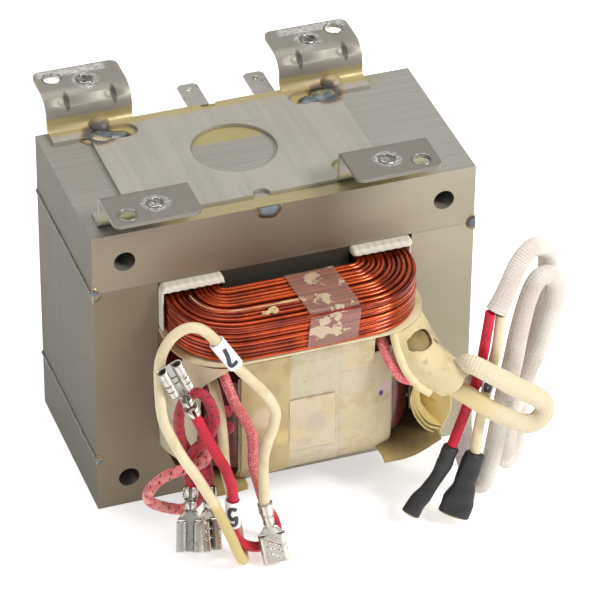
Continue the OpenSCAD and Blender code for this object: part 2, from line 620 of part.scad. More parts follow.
// The right-hand curl is doubled by a layer that flares away from the coil
module liner_flap_right() {
    liner_curl(1);
    edge = window_out - seat_gap;
    color([0.9, 0.85, 0.68])
        translate([edge + flare_r, -stack_d / 2 - liner_out - seat_gap, secondary_z + curl_gap])
            rotate(180) rotate_extrude(angle = flare_deg) translate([flare_r, 0]) square([liner_t, flare_h]);
}

// Leads

module lead(path, tint) color(tint) swept_tube(path, lead_d);
module sleeve(path, tint) color(tint) swept_tube(path, sleeve_d);

module cream_lead_left() lead(CREAM_LEFT, [0.94, 0.88, 0.72]);
module red_lead_left() lead(RED_LEFT, [0.82, 0.15, 0.25]);
module braided_lead_a() lead(BRAID_A, [0.78, 0.12, 0.22]);
module braided_lead_b() lead(BRAID_B, [0.78, 0.12, 0.22]);
module red_lead_inner() lead(RED_INNER, [0.8, 0.25, 0.3]);
module sleeve_tie() sleeve(SLEEVE_TIE, [0.93, 0.87, 0.7]);
module sleeve_folded() sleeve(SLEEVE_FOLDED, [0.93, 0.9, 0.87]);
module red_lead_right() lead(RED_RIGHT, [0.82, 0.1, 0.22]);
module cream_lead_right() lead(CREAM_RIGHT, [0.92, 0.87, 0.72]);

// A push-on receptacle: two crimps on a strip, a neck, and a flat socket with curled sides
module receptacle(spot) {
    floor_y = -lead_d / 2;
    socket_half = (receptacle_w - roll_d) / 2;
    color([0.78, 0.77, 0.75]) aimed(spot[0], spot[1], spot[2]) {
        crimp(0, grip_d, floor_y);
        crimp(crimp_l + crimp_gap, wire_grip_d, floor_y);
        translate([0, floor_y + sheet_t, 0]) rotate([90, 0, 0]) linear_extrude(sheet_t) difference() {
            polygon([[-strip_w / 2, 0], [strip_w / 2, 0], [strip_w / 2, socket_z - neck_l],
                [socket_half, socket_z],
                [socket_half, socket_z + socket_l], [-socket_half, socket_z + socket_l],
                [-socket_half, socket_z], [-strip_w / 2, socket_z - neck_l]]);
            translate([-latch_w / 2, socket_z + socket_l / 3]) square([latch_w, latch_w]);
        }
        for (s = [1, -1]) translate([s * socket_half, floor_y + roll_d / 2, socket_z]) curl(s);
    }
}

// A folded crimp: two lobes side by side
module crimp(z, d, floor_y) {
    for (s = [1, -1]) translate([s * d * crimp_spread, floor_y + d / 2, z]) cylinder(d = d, h = crimp_l);
}

// A curled side of the socket, open towards the middle for the blade
module curl(side) {
    inside = roll_d - 2 * sheet_t;
    difference() {
        cylinder(d = roll_d, h = socket_l);
        translate([0, 0, -1]) cylinder(d = inside, h = socket_l + 2);
        translate([side > 0 ? -roll_d : 0, -inside / 2, -1]) cube([roll_d, inside / 2, socket_l + 2]);
    }
}
module receptacle_red() receptacle(RED_TERMINAL);
module receptacle_braid_a() receptacle(BRAID_A_TERMINAL);
module receptacle_braid_b() receptacle(BRAID_B_TERMINAL);
module receptacle_cream() receptacle(CREAM_TERMINAL);

// Shrunk black boots over the right-hand leads' terminals
module boot_red() color([0.14, 0.14, 0.15]) swept_tube(RED_BOOT, RED_BOOT_WIDTHS);

module boot_cream() {
    run = CREAM_BOOT[1] - CREAM_BOOT[0];
    socket_half = (receptacle_w - roll_d) / 2;
    color([0.14, 0.14, 0.15]) aimed(CREAM_BOOT[0], run, CREAM_BOOT[2]) {
        cylinder(d = lead_d + 2 * boot_wall, h = boot_neck_l);
        translate([0, 0, boot_neck_l]) hull() for (s = [1, -1]) {
            translate([s * socket_half, 0, boot_taper_l])
                cylinder(d = roll_d + 2 * boot_wall, h = norm(run) - boot_neck_l - boot_taper_l, $fn = 24);
            translate([s * boot_taper_w, 0, 0]) cylinder(d = roll_d + 2 * boot_wall, h = 1, $fn = 24);
        }
    }
}

// Printed marker sleeves round the leads
module marker(ends) {
    run = ends[1] - ends[0];
    bore = lead_d + 2 * marker_gap;
    color([0.92, 0.92, 0.93]) aimed(ends[0], run) difference() {
        cylinder(d = bore + 2 * marker_wall, h = norm(run));
        translate([0, 0, -1]) cylinder(d = bore, h = norm(run) + 2);
    }
}
module marker_left() marker(CREAM_MARKER);
module marker_middle() marker(RED_MARKER);
module marker_right() marker(RIGHT_MARKER);

core_e_stack();
core_i_stack();
seam_weld_left();
seam_weld_right();
stack_weld_left();
stack_weld_right();
mounting_plate();
plate_welds();
front_weld();
blade_left();
blade_right();
primary_coil();
primary_liner_left();
primary_liner_right();
primary_tape();
coil_divider();
divider_flap_left();
divider_flap_right();
shunt_left();
shunt_right();
filament_winding();
secondary_coil();
secondary_tape_front();
secondary_tape_back();
secondary_liner_left();
secondary_liner_right();
liner_flap_right();
cream_lead_left();
red_lead_left();
braided_lead_a();
braided_lead_b();
red_lead_inner();
sleeve_tie();
sleeve_folded();
red_lead_right();
cream_lead_right();
receptacle_red();
receptacle_braid_a();
receptacle_braid_b();
receptacle_cream();
boot_red();
boot_cream();
marker_left();
marker_middle();
marker_right();
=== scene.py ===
"""Looks of a shell-type high-voltage transformer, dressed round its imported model.

Sizes are in millimetres until a mesh is made, where they become metres in the model's own frame:
+X right, -Y towards the leads, +Z up, origin under the middle of the core.
"""

import functools
import logging
import math
from collections.abc import Callable, Sequence
from dataclasses import dataclass
from enum import Enum
from typing import Protocol

import bmesh
import bpy
import numpy as np
from mathutils import Euler, Matrix, Vector, geometry


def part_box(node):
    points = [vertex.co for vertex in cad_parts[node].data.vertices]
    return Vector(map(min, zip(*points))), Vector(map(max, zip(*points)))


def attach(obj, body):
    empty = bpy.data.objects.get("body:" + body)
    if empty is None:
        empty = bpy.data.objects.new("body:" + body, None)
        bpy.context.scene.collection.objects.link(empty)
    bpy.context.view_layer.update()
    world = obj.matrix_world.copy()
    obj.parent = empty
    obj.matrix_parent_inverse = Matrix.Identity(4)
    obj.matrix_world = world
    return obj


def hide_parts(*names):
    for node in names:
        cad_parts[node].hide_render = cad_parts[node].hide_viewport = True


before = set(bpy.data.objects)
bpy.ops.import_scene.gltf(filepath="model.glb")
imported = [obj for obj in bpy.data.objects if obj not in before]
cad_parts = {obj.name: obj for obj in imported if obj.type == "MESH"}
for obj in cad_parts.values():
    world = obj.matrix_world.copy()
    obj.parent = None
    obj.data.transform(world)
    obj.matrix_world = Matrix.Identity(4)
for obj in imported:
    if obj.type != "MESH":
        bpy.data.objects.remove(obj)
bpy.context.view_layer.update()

MM = 0.001
TURN = 2 * math.pi
BODY = "root"
SEED = 7
SIDES = (-1, 1)
CORNERS = [(sx, sy) for sy in SIDES for sx in SIDES]
FACING = np.array([-0.274, -0.765, 0.583])
LOG = logging.getLogger("transformer")

Points = np.ndarray
Faces = list[list[int]]
Outline = list[tuple[float, float]]
Triple = tuple[float, float, float]
Random = np.random.Generator
Piece = bpy.types.Object
Material = bpy.types.Material
Colour = str
Relief = Callable[[Points, Points], Points]


# Small tools

def linear(colour: Colour) -> tuple[float, ...]:
    """Turns a display colour, written as #rrggbb, into a linear one with full opacity."""
    parts = [int(colour[k:k + 2], 16) / 255 for k in (1, 3, 5)]
    return (*(c / 12.92 if c <= 0.04045 else ((c + 0.055) / 1.055) ** 2.4 for c in parts), 1.0)


def hand(side: int) -> str:
    """Names a side: left below zero, right above it."""
    return "left" if side < 0 else "right"


def end_word(way: int) -> str:
    """Names an end: front below zero, back above it."""
    return "front" if way < 0 else "back"


def node_box(node: str) -> tuple[Points, Points]:
    """Gives a node's lowest and highest corners, in millimetres."""
    low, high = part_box(node)
    return np.array(low) / MM, np.array(high) / MM


def unit(vectors: Points) -> Points:
    """Scales vectors to a length of one."""
    return vectors / np.maximum(np.linalg.norm(vectors, axis=-1, keepdims=True), 1e-9)


def lengths_along(points: Points) -> Points:
    """Gives the length of a route up to each of its points."""
    return np.concatenate([[0], np.cumsum(np.linalg.norm(np.diff(points, axis=0), axis=1))])


def spaced(points: Points, count: int, to_end: bool = True) -> Points:
    """Spreads points evenly along a line.

    Args:
        points: The line's own points.
        count: Number of points that come back.
        to_end: Whether the last of them is the line's end.

    Returns:
        Evenly spaced points.
    """
    along = lengths_along(points)
    even = np.linspace(0, along[-1], count, endpoint=to_end)
    return np.column_stack([np.interp(even, along, axis) for axis in points.T])


def blend_weights(t: Points) -> Points:
    """Weighs the four points nearest to a place between two of them, from 0 to 1, for a smooth curve."""
    a, b = t**2, t**3
    return 0.5 * np.stack([-t + 2 * a - b, 2 - 5 * a + 3 * b, t + 4 * a - 3 * b, b - a], -1)


def carried_on(points: Points) -> Points:
    """Adds a point before the first and after the last, straight on."""
    return np.concatenate([2 * points[:1] - points[1:2], points, 2 * points[-1:] - points[-2:-1]])


def smooth_route(points: Sequence[Sequence[float]], step: float) -> Points:
    """Draws one smooth curve through given points.

    Args:
        points: The points that the curve passes through.
        step: Distance between the points that come back.

    Returns:
        Evenly spaced points along the curve.
    """
    p = np.asarray(points, float)
    places = np.linspace(0, len(p) - 1, 24 * (len(p) - 1) + 1)
    k = np.clip(np.floor(places).astype(int), 0, len(p) - 2)
    weights, wide = blend_weights(places - k), carried_on(p)
    fine = sum(weights[:, a, None] * wide[k + a] for a in range(4))
    return spaced(fine, max(2, round(lengths_along(fine)[-1] / step) + 1))


def surface_at(rows: Sequence[Sequence[Sequence[float]]], down: Points, across: Points) -> Points:
    """Reads one smooth surface through rows of points.

    Args:
        rows: Rows of points that the surface passes through.
        down: Places from the first row to the last, from 0 to 1.
        across: Places along the rows, from 0 to 1.

    Returns:
        A point of the surface for each pair of places.
    """
    grid = np.asarray(rows, float)
    i, j = down * (grid.shape[0] - 1), across * (grid.shape[1] - 1)
    ki = np.clip(np.floor(i).astype(int), 0, grid.shape[0] - 2)
    kj = np.clip(np.floor(j).astype(int), 0, grid.shape[1] - 2)
    wi, wj = blend_weights(i - ki), blend_weights(j - kj)
    wide = np.swapaxes(carried_on(np.swapaxes(carried_on(grid), 0, 1)), 0, 1)
    pairs = [(a, b) for a in range(4) for b in range(4)]
    return sum((wi[..., a] * wj[..., b])[..., None] * wide[ki + a, kj + b] for a, b in pairs)


def eased(path: Points, reach: int) -> Points:
    """Eases the tight folds of a route and keeps its ends.

    Args:
        path: Evenly spaced points along the route.
        reach: How many points on each side a point is averaged with.

    Returns:
        The same number of points, on softer bends.
    """
    share = np.ones(2 * reach + 1) / (2 * reach + 1)
    wide = np.concatenate([2 * path[0] - path[reach:0:-1], path, 2 * path[-1] - path[-2:-reach - 2:-1]])
    return np.column_stack([np.convolve(axis, share, "valid") for axis in wide.T])


def rounded_loop(hx: float, hy: float, r: float, count: int = 132) -> Points:
    """Draws a rectangle with rounded corners about the middle.

    Args:
        hx: Half its width.
        hy: Half its depth.
        r: Radius of its corners.
        count: Number of points.

    Returns:
        Evenly spaced points, once round.
    """
    corners = []
    for cx, cy, start in ((1, 1, 0), (-1, 1, 90), (-1, -1, 180), (1, -1, 270)):
        for a in np.radians(np.linspace(start, start + 90, 19)):
            corners.append((cx * (hx - r) + r * math.cos(a), cy * (hy - r) + r * math.sin(a)))
    return spaced(np.array(corners + corners[:1]), count, False)


def carried_frames(path: Points, closed: bool = False) -> tuple[Points, Points, Points]:
    """Carries a pair of normals along a route without twisting.

    Args:
        path: Points along the route.
        closed: Whether the last point leads back to the first.

    Returns:
        The direction, the first normal and the second normal at each point.
    """
    dirs = unit(np.roll(path, -1, 0) - np.roll(path, 1, 0) if closed else np.gradient(path, axis=0))
    side = np.array([0.0, 0.0, 1.0]) if abs(dirs[0][2]) < 0.9 else np.array([1.0, 0.0, 0.0])
    sides = []
    for d in dirs:
        side = unit(side - (side @ d) * d)
        sides.append(side)
    return dirs, np.array(sides), np.cross(dirs, sides)


def wobble(angle: Points, rng: Random, size: float, waves: int = 6) -> Points:
    """Gives a smooth uneven offset that closes on itself.

    Args:
        angle: Place round the loop, in radians.
        rng: Source of the random phases.
        size: Largest offset, about.
        waves: How many waves are added up.

    Returns:
        The offset at each place.
    """
    phases = rng.uniform(0, TURN, waves)
    counts = np.arange(1, waves + 1)
    sizes = rng.uniform(0.3, 1, waves) / counts**0.5
    return size * sum(s * np.sin(k * angle + f) for k, s, f in zip(counts, sizes, phases)) / sizes.sum()


def mesh_piece(name: str, points: Points, faces: Sequence[Sequence[int]], sharp_deg: float = 180.0) -> Piece:
    """Makes a mesh object from points in millimetres.

    Args:
        name: Name of the piece.
        points: The mesh's points.
        faces: Corners of each face.
        sharp_deg: Edges bent more than this stay sharp.

    Returns:
        The new object, linked to the scene.
    """
    mesh = bpy.data.meshes.new(name)
    mesh.from_pydata((np.asarray(points, float) * MM).tolist(), [], [list(map(int, f)) for f in faces])
    mesh.update()
    mesh.shade_smooth()
    if sharp_deg < 180:
        mesh.set_sharp_from_angle(angle=math.radians(sharp_deg))
    made = bpy.data.objects.new(name, mesh)
    bpy.context.scene.collection.objects.link(made)
    return made


def grid_faces(rows: int, columns: int, wrap_rows: bool = False, wrap_columns: bool = False) -> Faces:
    """Lists the four-cornered faces of a grid of points.

    Args:
        rows: Rows of points.
        columns: Points in each row.
        wrap_rows: Whether the last row joins the first.
        wrap_columns: Whether each row closes on itself.

    Returns:
        The corners of each face.
    """
    found = []
    for i in range(rows if wrap_rows else rows - 1):
        j = (i + 1) % rows
        for k in range(columns if wrap_columns else columns - 1):
            n = (k + 1) % columns
            found.append([i * columns + k, i * columns + n, j * columns + n, j * columns + k])
    return found


def end_fans(rings: int, sides: int) -> Faces:
    """Lists the faces that close both ends of a row of rings.

    Args:
        rings: Number of rings; the middle points of both ends follow the last one.
        sides: Points in each ring.

    Returns:
        The corners of each face.
    """
    hub, last = rings * sides, (rings - 1) * sides
    pairs = [(k, (k + 1) % sides) for k in range(sides)]
    return [f for k, n in pairs for f in ([hub, n, k], [hub + 1, last + k, last + n])]


def give_values(piece: Piece, name: str, values: Points) -> None:
    """Stores one number or one vector for each point of a mesh, under a name that a finish reads."""
    kind, key = ("FLOAT", "value") if values.ndim == 1 else ("FLOAT_VECTOR", "vector")
    piece.data.attributes.new(name, kind, "POINT").data.foreach_set(key, values.astype(np.float32).ravel())


def turn_outward(piece: Piece) -> Piece:
    """Turns all faces of a mesh to the outside.

    Args:
        piece: The object to mend.

    Returns:
        The same piece.
    """
    work = bmesh.new()
    work.from_mesh(piece.data)
    bmesh.ops.recalc_face_normals(work, faces=work.faces)
    work.to_mesh(piece.data)
    work.free()
    return piece


def thicken(piece: Piece, thick: float, offset: float = 0.0) -> Piece:
    """Gives a thin sheet its thickness.

    Args:
        piece: The object to thicken.
        thick: Its thickness, in millimetres.
        offset: -1 keeps the outer face in place, 0 the middle.

    Returns:
        The same piece.
    """
    body = piece.modifiers.new("thickness", "SOLIDIFY")
    body.thickness = thick * MM
    body.offset = offset
    return piece


def soften(piece: Piece, width: float, angle_deg: float = 35.0) -> None:
    """Rounds the sharp edges of a rigid piece.

    Args:
        piece: The object to soften.
        width: Width of the rounded edge, in millimetres.
        angle_deg: Edges bent more than this are rounded.
    """
    weld = piece.modifiers.new("join", "WELD")
    weld.merge_threshold = 0.002 * MM
    edge = piece.modifiers.new("edge", "BEVEL")
    edge.width = width * MM
    edge.segments = 2
    edge.limit_method = "ANGLE"
    edge.angle_limit = math.radians(angle_deg)


def aimed(at: Sequence[float], direction: Sequence[float], roll_deg: float) -> Matrix:
    """Turns local +Z to a direction, with a roll about it, and moves it to a point.

    Args:
        at: Where local zero goes, in millimetres.
        direction: Where local +Z points.
        roll_deg: Turn about local +Z before it is aimed.

    Returns:
        The placing matrix, in millimetres.
    """
    d = Vector(direction).normalized()
    turn = Euler((0, math.acos(d.z), math.atan2(d.y, d.x)), "XYZ").to_matrix()
    return Matrix.Translation(Vector(at)) @ (turn @ Matrix.Rotation(math.radians(roll_deg), 3, "Z")).to_4x4()


def placed(points: Points, matrix: Matrix) -> Points:
    """Moves points by a matrix."""
    m = np.array(matrix)
    return np.asarray(points) @ m[:3, :3].T + m[:3, 3]


# Finishes

@dataclass(frozen=True)
class Field:
    """A number or colour that varies over a surface and takes the usual signs."""

    sketch: "NodeSketch"
    socket: bpy.types.NodeSocket

    def __add__(self, other: "Field | float") -> "Field":
        """Adds."""
        return self.sketch.math("ADD", self, other)

    def __sub__(self, other: "Field | float") -> "Field":
        """Takes away."""
        return self.sketch.math("SUBTRACT", self, other)

    def __mul__(self, other: "Field | float") -> "Field":
        """Multiplies."""
        return self.sketch.math("MULTIPLY", self, other)

    def __truediv__(self, other: "Field | float") -> "Field":
        """Divides."""
        return self.sketch.math("DIVIDE", self, other)

    def __abs__(self) -> "Field":
        """Drops the sign."""
        return self.sketch.math("ABSOLUTE", self)


class NodeSketch:
    """Short calls that draw one finish as a node tree."""

    def __init__(self, name: str) -> None:
        """Starts an empty finish.

        Args:
            name: Name of the material.
        """
        self.material = bpy.data.materials.new(name)
        self.material.use_nodes = True
        self.tree = self.material.node_tree
        self.surface = next(n for n in self.tree.nodes if n.type == "BSDF_PRINCIPLED")

    def feed(self, socket: bpy.types.NodeSocket, value: object) -> None:
        """Links a socket to a field, or sets its number or colour.

        Args:
            socket: The socket to feed.
            value: A field, a display colour, or what the socket itself holds.
        """
        if isinstance(value, Field):
            self.tree.links.new(value.socket, socket)
        else:
            socket.default_value = linear(value) if isinstance(value, str) else value

    def node(self, kind: str, inputs: dict[int | str, object], out: int | str = 0,
             **settings: object) -> Field:
        """Adds a node.

        Args:
            kind: Blender's name for the node.
            inputs: What its sockets take, by place or name.
            out: Place or name of the output to read.
            settings: The node's own options.

        Returns:
            What the output gives.
        """
        made = self.tree.nodes.new(kind)
        for key, value in settings.items():
            setattr(made, key, value)
        for key, value in inputs.items():
            self.feed(made.inputs[key], value)
        return Field(self, made.outputs[out])

    def place(self, x: float = 1, y: float = 1, z: float = 1) -> Field:
        """Gives the place on the piece in millimetres, stretched on each axis."""
        inputs = {0: self.node("ShaderNodeTexCoord", {}, "Object"), 1: (x / MM, y / MM, z / MM)}
        return self.node("ShaderNodeVectorMath", inputs, operation="MULTIPLY")

    def parts(self, vector: Field) -> list[Field]:
        """Splits a place or a direction into its three numbers."""
        split = self.node("ShaderNodeSeparateXYZ", {0: vector}).socket.node
        return [Field(self, out) for out in split.outputs]

    def offset(self, spot: Sequence[float]) -> list[Field]:
        """Gives how far the place is from a spot along each axis, in millimetres."""
        return [here - there for here, there in zip(self.parts(self.place()), spot)]

    def near(self, spot: Sequence[float], place: Field | None = None) -> Field:
        """Gives the distance to a spot, in millimetres."""
        inputs = {0: place or self.place(), 1: tuple(spot)}
        return self.node("ShaderNodeVectorMath", inputs, "Value", operation="DISTANCE")

    def value(self, name: str, out: str = "Fac") -> Field:
        """Reads a value that the mesh stores for each point."""
        return self.node("ShaderNodeAttribute", {}, out, attribute_name=name)

    def noise(self, scale: float, detail: float = 4, rough: float = 0.55,
              place: Field | None = None) -> Field:
        """Gives cloudy noise from 0 to 1."""
        inputs = {"Vector": place or self.place(), "Scale": scale, "Detail": detail, "Roughness": rough}
        return self.node("ShaderNodeTexNoise", inputs)

    def cells(self, scale: float) -> Field:
        """Gives the distance to the nearest of many scattered points."""
        return self.node("ShaderNodeTexVoronoi", {"Vector": self.place(), "Scale": scale}, "Distance")

    def math(self, kind: str, a: object, b: object = 0.0) -> Field:
        """Works out one number from others."""
        return self.node("ShaderNodeMath", {0: a, 1: b}, operation=kind)

    def span(self, value: Field, low: float, high: float, to_low: float = 0, to_high: float = 1) -> Field:
        """Maps a span of values to another, held at both ends."""
        inputs = {"Value": value, "From Min": low, "From Max": high, "To Min": to_low, "To Max": to_high}
        return self.node("ShaderNodeMapRange", inputs, clamp=True, interpolation_type="SMOOTHSTEP")

    def ramp(self, value: Field, *stops: tuple[float, Colour]) -> Field:
        """Turns a value into a colour by its stops.

        Args:
            value: The value to read.
            stops: Places from 0 to 1 and their colours.

        Returns:
            The colour.
        """
        made = self.node("ShaderNodeValToRGB", {0: value})
        band = made.socket.node.color_ramp.elements
        while len(band) < len(stops):
            band.new(1.0)
        for element, (at, colour) in zip(band, stops):
            element.position = at
            element.color = linear(colour)
        return made

    def mix(self, share: object, a: object, b: object, kind: str = "MIX") -> Field:
        """Mixes two colours."""
        return self.node("ShaderNodeMix", {0: share, 6: a, 7: b}, 2, data_type="RGBA", blend_type=kind)

    def shaded(self, colour: object, shade: Field) -> Field:
        """Makes a colour lighter or darker by a number."""
        grey = self.node("ShaderNodeCombineColor", {0: shade, 1: shade, 2: shade})
        return self.mix(1.0, colour, grey, "MULTIPLY")

    def bump(self, height: Field, depth: float, strength: float = 1.0) -> None:
        """Raises the surface by a height, on top of earlier bumps.

        Args:
            height: The height, from 0 to 1 or so.
            depth: How far a height of one reaches, in millimetres.
            strength: Share of the bump that shows.
        """
        inputs = {"Height": height, "Strength": strength, "Distance": depth * MM}
        last = self.surface.inputs["Normal"]
        if last.is_linked:
            inputs["Normal"] = Field(self, last.links[0].from_socket)
        self.feed(last, self.node("ShaderNodeBump", inputs))

    def finish(self, colour: object, rough: object, **more: object) -> Material:
        """Sets the shader's main sockets.

        Args:
            colour: Base colour.
            rough: Roughness.
            more: Other sockets by name, with _ for a space.

        Returns:
            The finished material.
        """
        for key, value in {"Base_Color": colour, "Roughness": rough, **more}.items():
            self.feed(self.surface.inputs[key.replace("_", " ")], value)
        return self.material


class Finish(Protocol):
    """What every finish has: the record's slot for it, and a way to draw it."""

    slot: str

    def make(self) -> Material:
        """Draws the finish."""


@dataclass(frozen=True)
class Spot:
    """A round mark on a finish: a stain that has soaked in, or a patch of painted shade."""

    at: Triple
    reach: float
    tint: Colour
    strength: float = 0.8


@dataclass(frozen=True)
class CoreSteel:
    """Varnished lamination steel: satin on the flat side, lined over the edges of the sheets, with painted
    light and shade.
    """

    slot: str = "core_steel"
    varnish: Colour = "#aca070"
    pools: tuple[Triple, ...] = ()
    half_width: float = 57.0
    height: float = 95.0

    def make(self) -> Material:
        """Draws the finish.

        Returns:
            Its material.
        """
        s = NodeSketch("core_steel")
        x, y, z = s.parts(s.place())
        # Painted light and shade: the front and the bar run from dark on the left to light on the right.
        painted_light_sweep = s.span(x, -self.half_width, self.half_width) + (s.noise(0.02, 2) * 0.3 - 0.15)
        front = s.ramp(painted_light_sweep, (0.0, "#7e7260"), (0.3, "#8e8371"), (0.62, "#a39b88"),
                       (1.0, "#b6b09d"))
        bar = s.ramp(painted_light_sweep, (0.0, "#928777"), (0.35, "#766b5c"), (0.65, "#786e5f"),
                     (1.0, "#b2ab99"))
        front = s.mix(s.span(z, 75.0, 77.0), front, bar)
        # Painted shade in the recess above the coil, in front of the centre leg and under the bar.
        recess_shade = s.span(abs(x), 20.5, 19.0) * s.span(z, 76.1, 75.8) * s.span(z, 55, 58)
        front = s.mix(recess_shade, front, "#4a473e")
        # Painted shade: the sheet edges on the sides are much darker than on the top, and darker still
        # towards the bottom.
        shaded_flank = s.ramp(s.span(z, 0, self.height), (0.0, "#494131"), (0.6, "#585141"), (1.0, "#565043"))
        crown = s.mix(s.span(x, -50, 50), "#98948c", "#a29f98")
        _, ny, nz = s.parts(s.node("ShaderNodeNewGeometry", {}, "True Normal"))
        facing_up = s.span(nz, 0.4, 0.8)
        upright = s.noise(1.0, 6, 0.7, s.place(1.0, 2.4, 0.025))
        line = s.mix(facing_up, upright, s.noise(1.0, 6, 0.7, s.place(0.025, 2.4, 1.0)))
        shade = s.span(s.value("sheet") * 0.3 + line * 0.8, 0.25, 0.85, 0.93, 1.05)
        edges = s.shaded(s.mix(facing_up, shaded_flank, crown), shade)
        for px, py, reach in self.pools:
            far = s.near((px, py, 0), s.place(1, 1, 0)) + s.noise(0.4, 3) * 2.0
            edges = s.mix(s.span(far, reach + 1.4, reach) * facing_up, edges, self.varnish)
        rim = s.span(abs(y) + s.noise(0.12, 3) * 2.4, 23.4, 24.2) * s.span(abs(x - 4.0), 46, 34)
        edges = s.mix(rim * facing_up * 0.8, edges, self.varnish)
        brush = s.noise(1.0, 5, 0.6, s.place(0.03, 1, 1.4))
        plain = s.shaded(front, s.span(brush, 0.3, 0.7, 0.96, 1.03))
        flat = s.span(abs(ny), 0.4, 0.8)
        specks = s.span(s.noise(0.9, 3, 0.6), 0.68, 0.78) * 0.18
        colour = s.mix(specks, s.mix(flat, edges, plain), "#605442")
        s.bump(line - line * flat, 0.03, 0.35)
        s.bump(brush, 0.008, 0.25)
        return s.finish(colour, s.span(line * 0.5 + brush * 0.5, 0.3, 0.7, 0.42, 0.52), Metallic=0.45)


@dataclass(frozen=True)
class PlateSteel:
    """Rolled sheet with varnish at its bends, heat tints round the welds, painted shade on the tabs on the
    far side and painted shadow in its dents.
    """

    slot: str = "plate_steel"
    base: Colour = "#a8a49a"
    varnish: Colour = "#b0a06a"
    slots: tuple[Triple, ...] = ()
    crease_shadows: tuple[Triple, ...] = ()
    scuffs: tuple[Triple, ...] = ()
    burrs: tuple[Triple, ...] = ()
    seat: float = 95.0
    bend_y: float = 24.0

    def make(self) -> Material:
        """Draws the finish.

        Returns:
            Its material.
        """
        s = NodeSketch("plate_steel")
        _, y, z = s.parts(s.place())
        seat, bend = self.seat, self.bend_y
        rolled = s.noise(1.0, 3, 0.5, s.place(0.5, 0.015, 0.2))
        cloud = s.noise(0.05, 3)
        colour = s.shaded(self.base, s.span(rolled * 0.5 + cloud * 0.5, 0.35, 0.65, 0.94, 1.03))
        # Painted shade on the tabs on the far side.
        web_shade = s.span(y, bend - 0.5, bend + 2.5) * s.span(z, seat + 2.2, seat + 4.2)
        colour = s.mix(web_shade * 0.5, colour, "#686258")
        lip = s.span(y, 2.0 - bend, -bend) * s.span(z, seat + 4, seat + 8)
        colour = s.mix(lip * 0.8, colour, "#746e66")
        ragged = s.noise(0.25, 4, 0.6, s.place(0.5, 1, 1)) * 2.4 - 1.2
        low = s.span(z + ragged, seat + 5.4, seat + 4.0)
        colour = s.mix(low * s.span(y + ragged, bend - 2.2, bend - 0.6) * 0.8, colour, self.varnish)
        colour = s.mix(low * s.span(y + ragged, 2.8 - bend, 1.2 - bend) * 0.45, colour, self.varnish)
        wavy = s.noise(0.3, 3) * 2.4 - 1.2
        for at in self.slots:
            far = s.near(at) + wavy
            heat = s.ramp(s.span(far, 3.4, 7.6), (0.0, "#423e42"), (0.35, "#705c52"),
                          (0.62, "#a48c68"), (1.0, "#b2ac9e"))
            colour = s.mix(s.span(far, 7.6, 4.2, 0, 0.85), colour, heat)
        # Painted shadow: a dark lens in each dent's crease.
        for at in self.crease_shadows:
            dx, dy, dz = s.offset(at)
            tall = (dz * 0.72 + dy * 0.72) / 3.4
            lens = s.span(dx * dx + tall * tall, 1.1, 0.3, 0, 0.75)
            colour = s.mix(lens * s.span(abs(dy), 6.0, 5.0), colour, "#3a342e")
        fine = s.noise(1.6, 6, 0.75, s.place(0.7, 2.2, 1))
        for at in self.burrs:
            mark = s.mix(s.span(fine, 0.4, 0.6), "#5c5854", "#dad7d4")
            colour = s.mix(s.span(s.near(at) + wavy, 4.6, 3.2, 0, 0.8), colour, mark)
        for at in self.scuffs:
            dx, dy, _ = s.offset(at)
            strip = s.span(abs(dy), 2.2, 1.2) * s.span(abs(dx), 11.0, 9.0)
            mark = s.mix(s.span(fine, 0.42, 0.58), "#96928e", "#e2dfdc")
            colour = s.mix(strip * s.span(fine, 0.35, 0.5, 0.2, 0.85), colour, mark)
        smear = s.span(s.noise(0.5, 6, 0.7, s.place(0.5, 0.5, 0.5)), 0.6, 0.74)
        colour = s.mix(smear * 0.12, colour, "#807662")
        s.bump(rolled, 0.02, 0.3)
        s.bump(cloud, 0.1, 0.2)
        return s.finish(colour, s.span(rolled, 0.3, 0.7, 0.42, 0.52), Metallic=0.42)


@dataclass(frozen=True)
class WeldSteel:
    """Melted steel with blue and straw-coloured heat tints."""

    slot: str = "weld_steel"

    def make(self) -> Material:
        """Draws the finish.

        Returns:
            Its material.
        """
        s = NodeSketch("weld_steel")
        cloud = s.noise(0.5, 4, 0.6)
        colour = s.ramp(cloud, (0.25, "#3e3a36"), (0.42, "#605e5c"), (0.55, "#78726a"),
                        (0.68, "#766248"), (0.85, "#54483a"))
        s.bump(s.noise(1.6, 4), 0.15, 0.6)
        return s.finish(colour, s.span(cloud, 0.3, 0.7, 0.32, 0.5), Metallic=0.6)


@dataclass(frozen=True)
class PuddleSteel:
    """A weld puddle: glossy blue-grey in the middle, brown and gold at its rim."""

    slot: str = "weld_steel"

    def make(self) -> Material:
        """Draws the finish.

        Returns:
            Its material.
        """
        s = NodeSketch("weld_puddle")
        cloud = s.noise(0.45, 3, 0.5)
        colour = s.ramp(s.value("rim") + (cloud * 0.24 - 0.12), (0.0, "#626c74"), (0.5, "#6a747a"),
                        (0.74, "#464a50"), (0.88, "#4e3c30"), (0.97, "#a0885a"))
        gold = s.span(s.noise(0.3, 3, 0.5), 0.52, 0.62, 0, 0.75)
        colour = s.mix(gold, colour, "#ac9e70")
        s.bump(cloud, 0.2, 0.3)
        return s.finish(colour, 0.3, Metallic=0.5, Coat_Weight=0.3, Coat_Roughness=0.1)


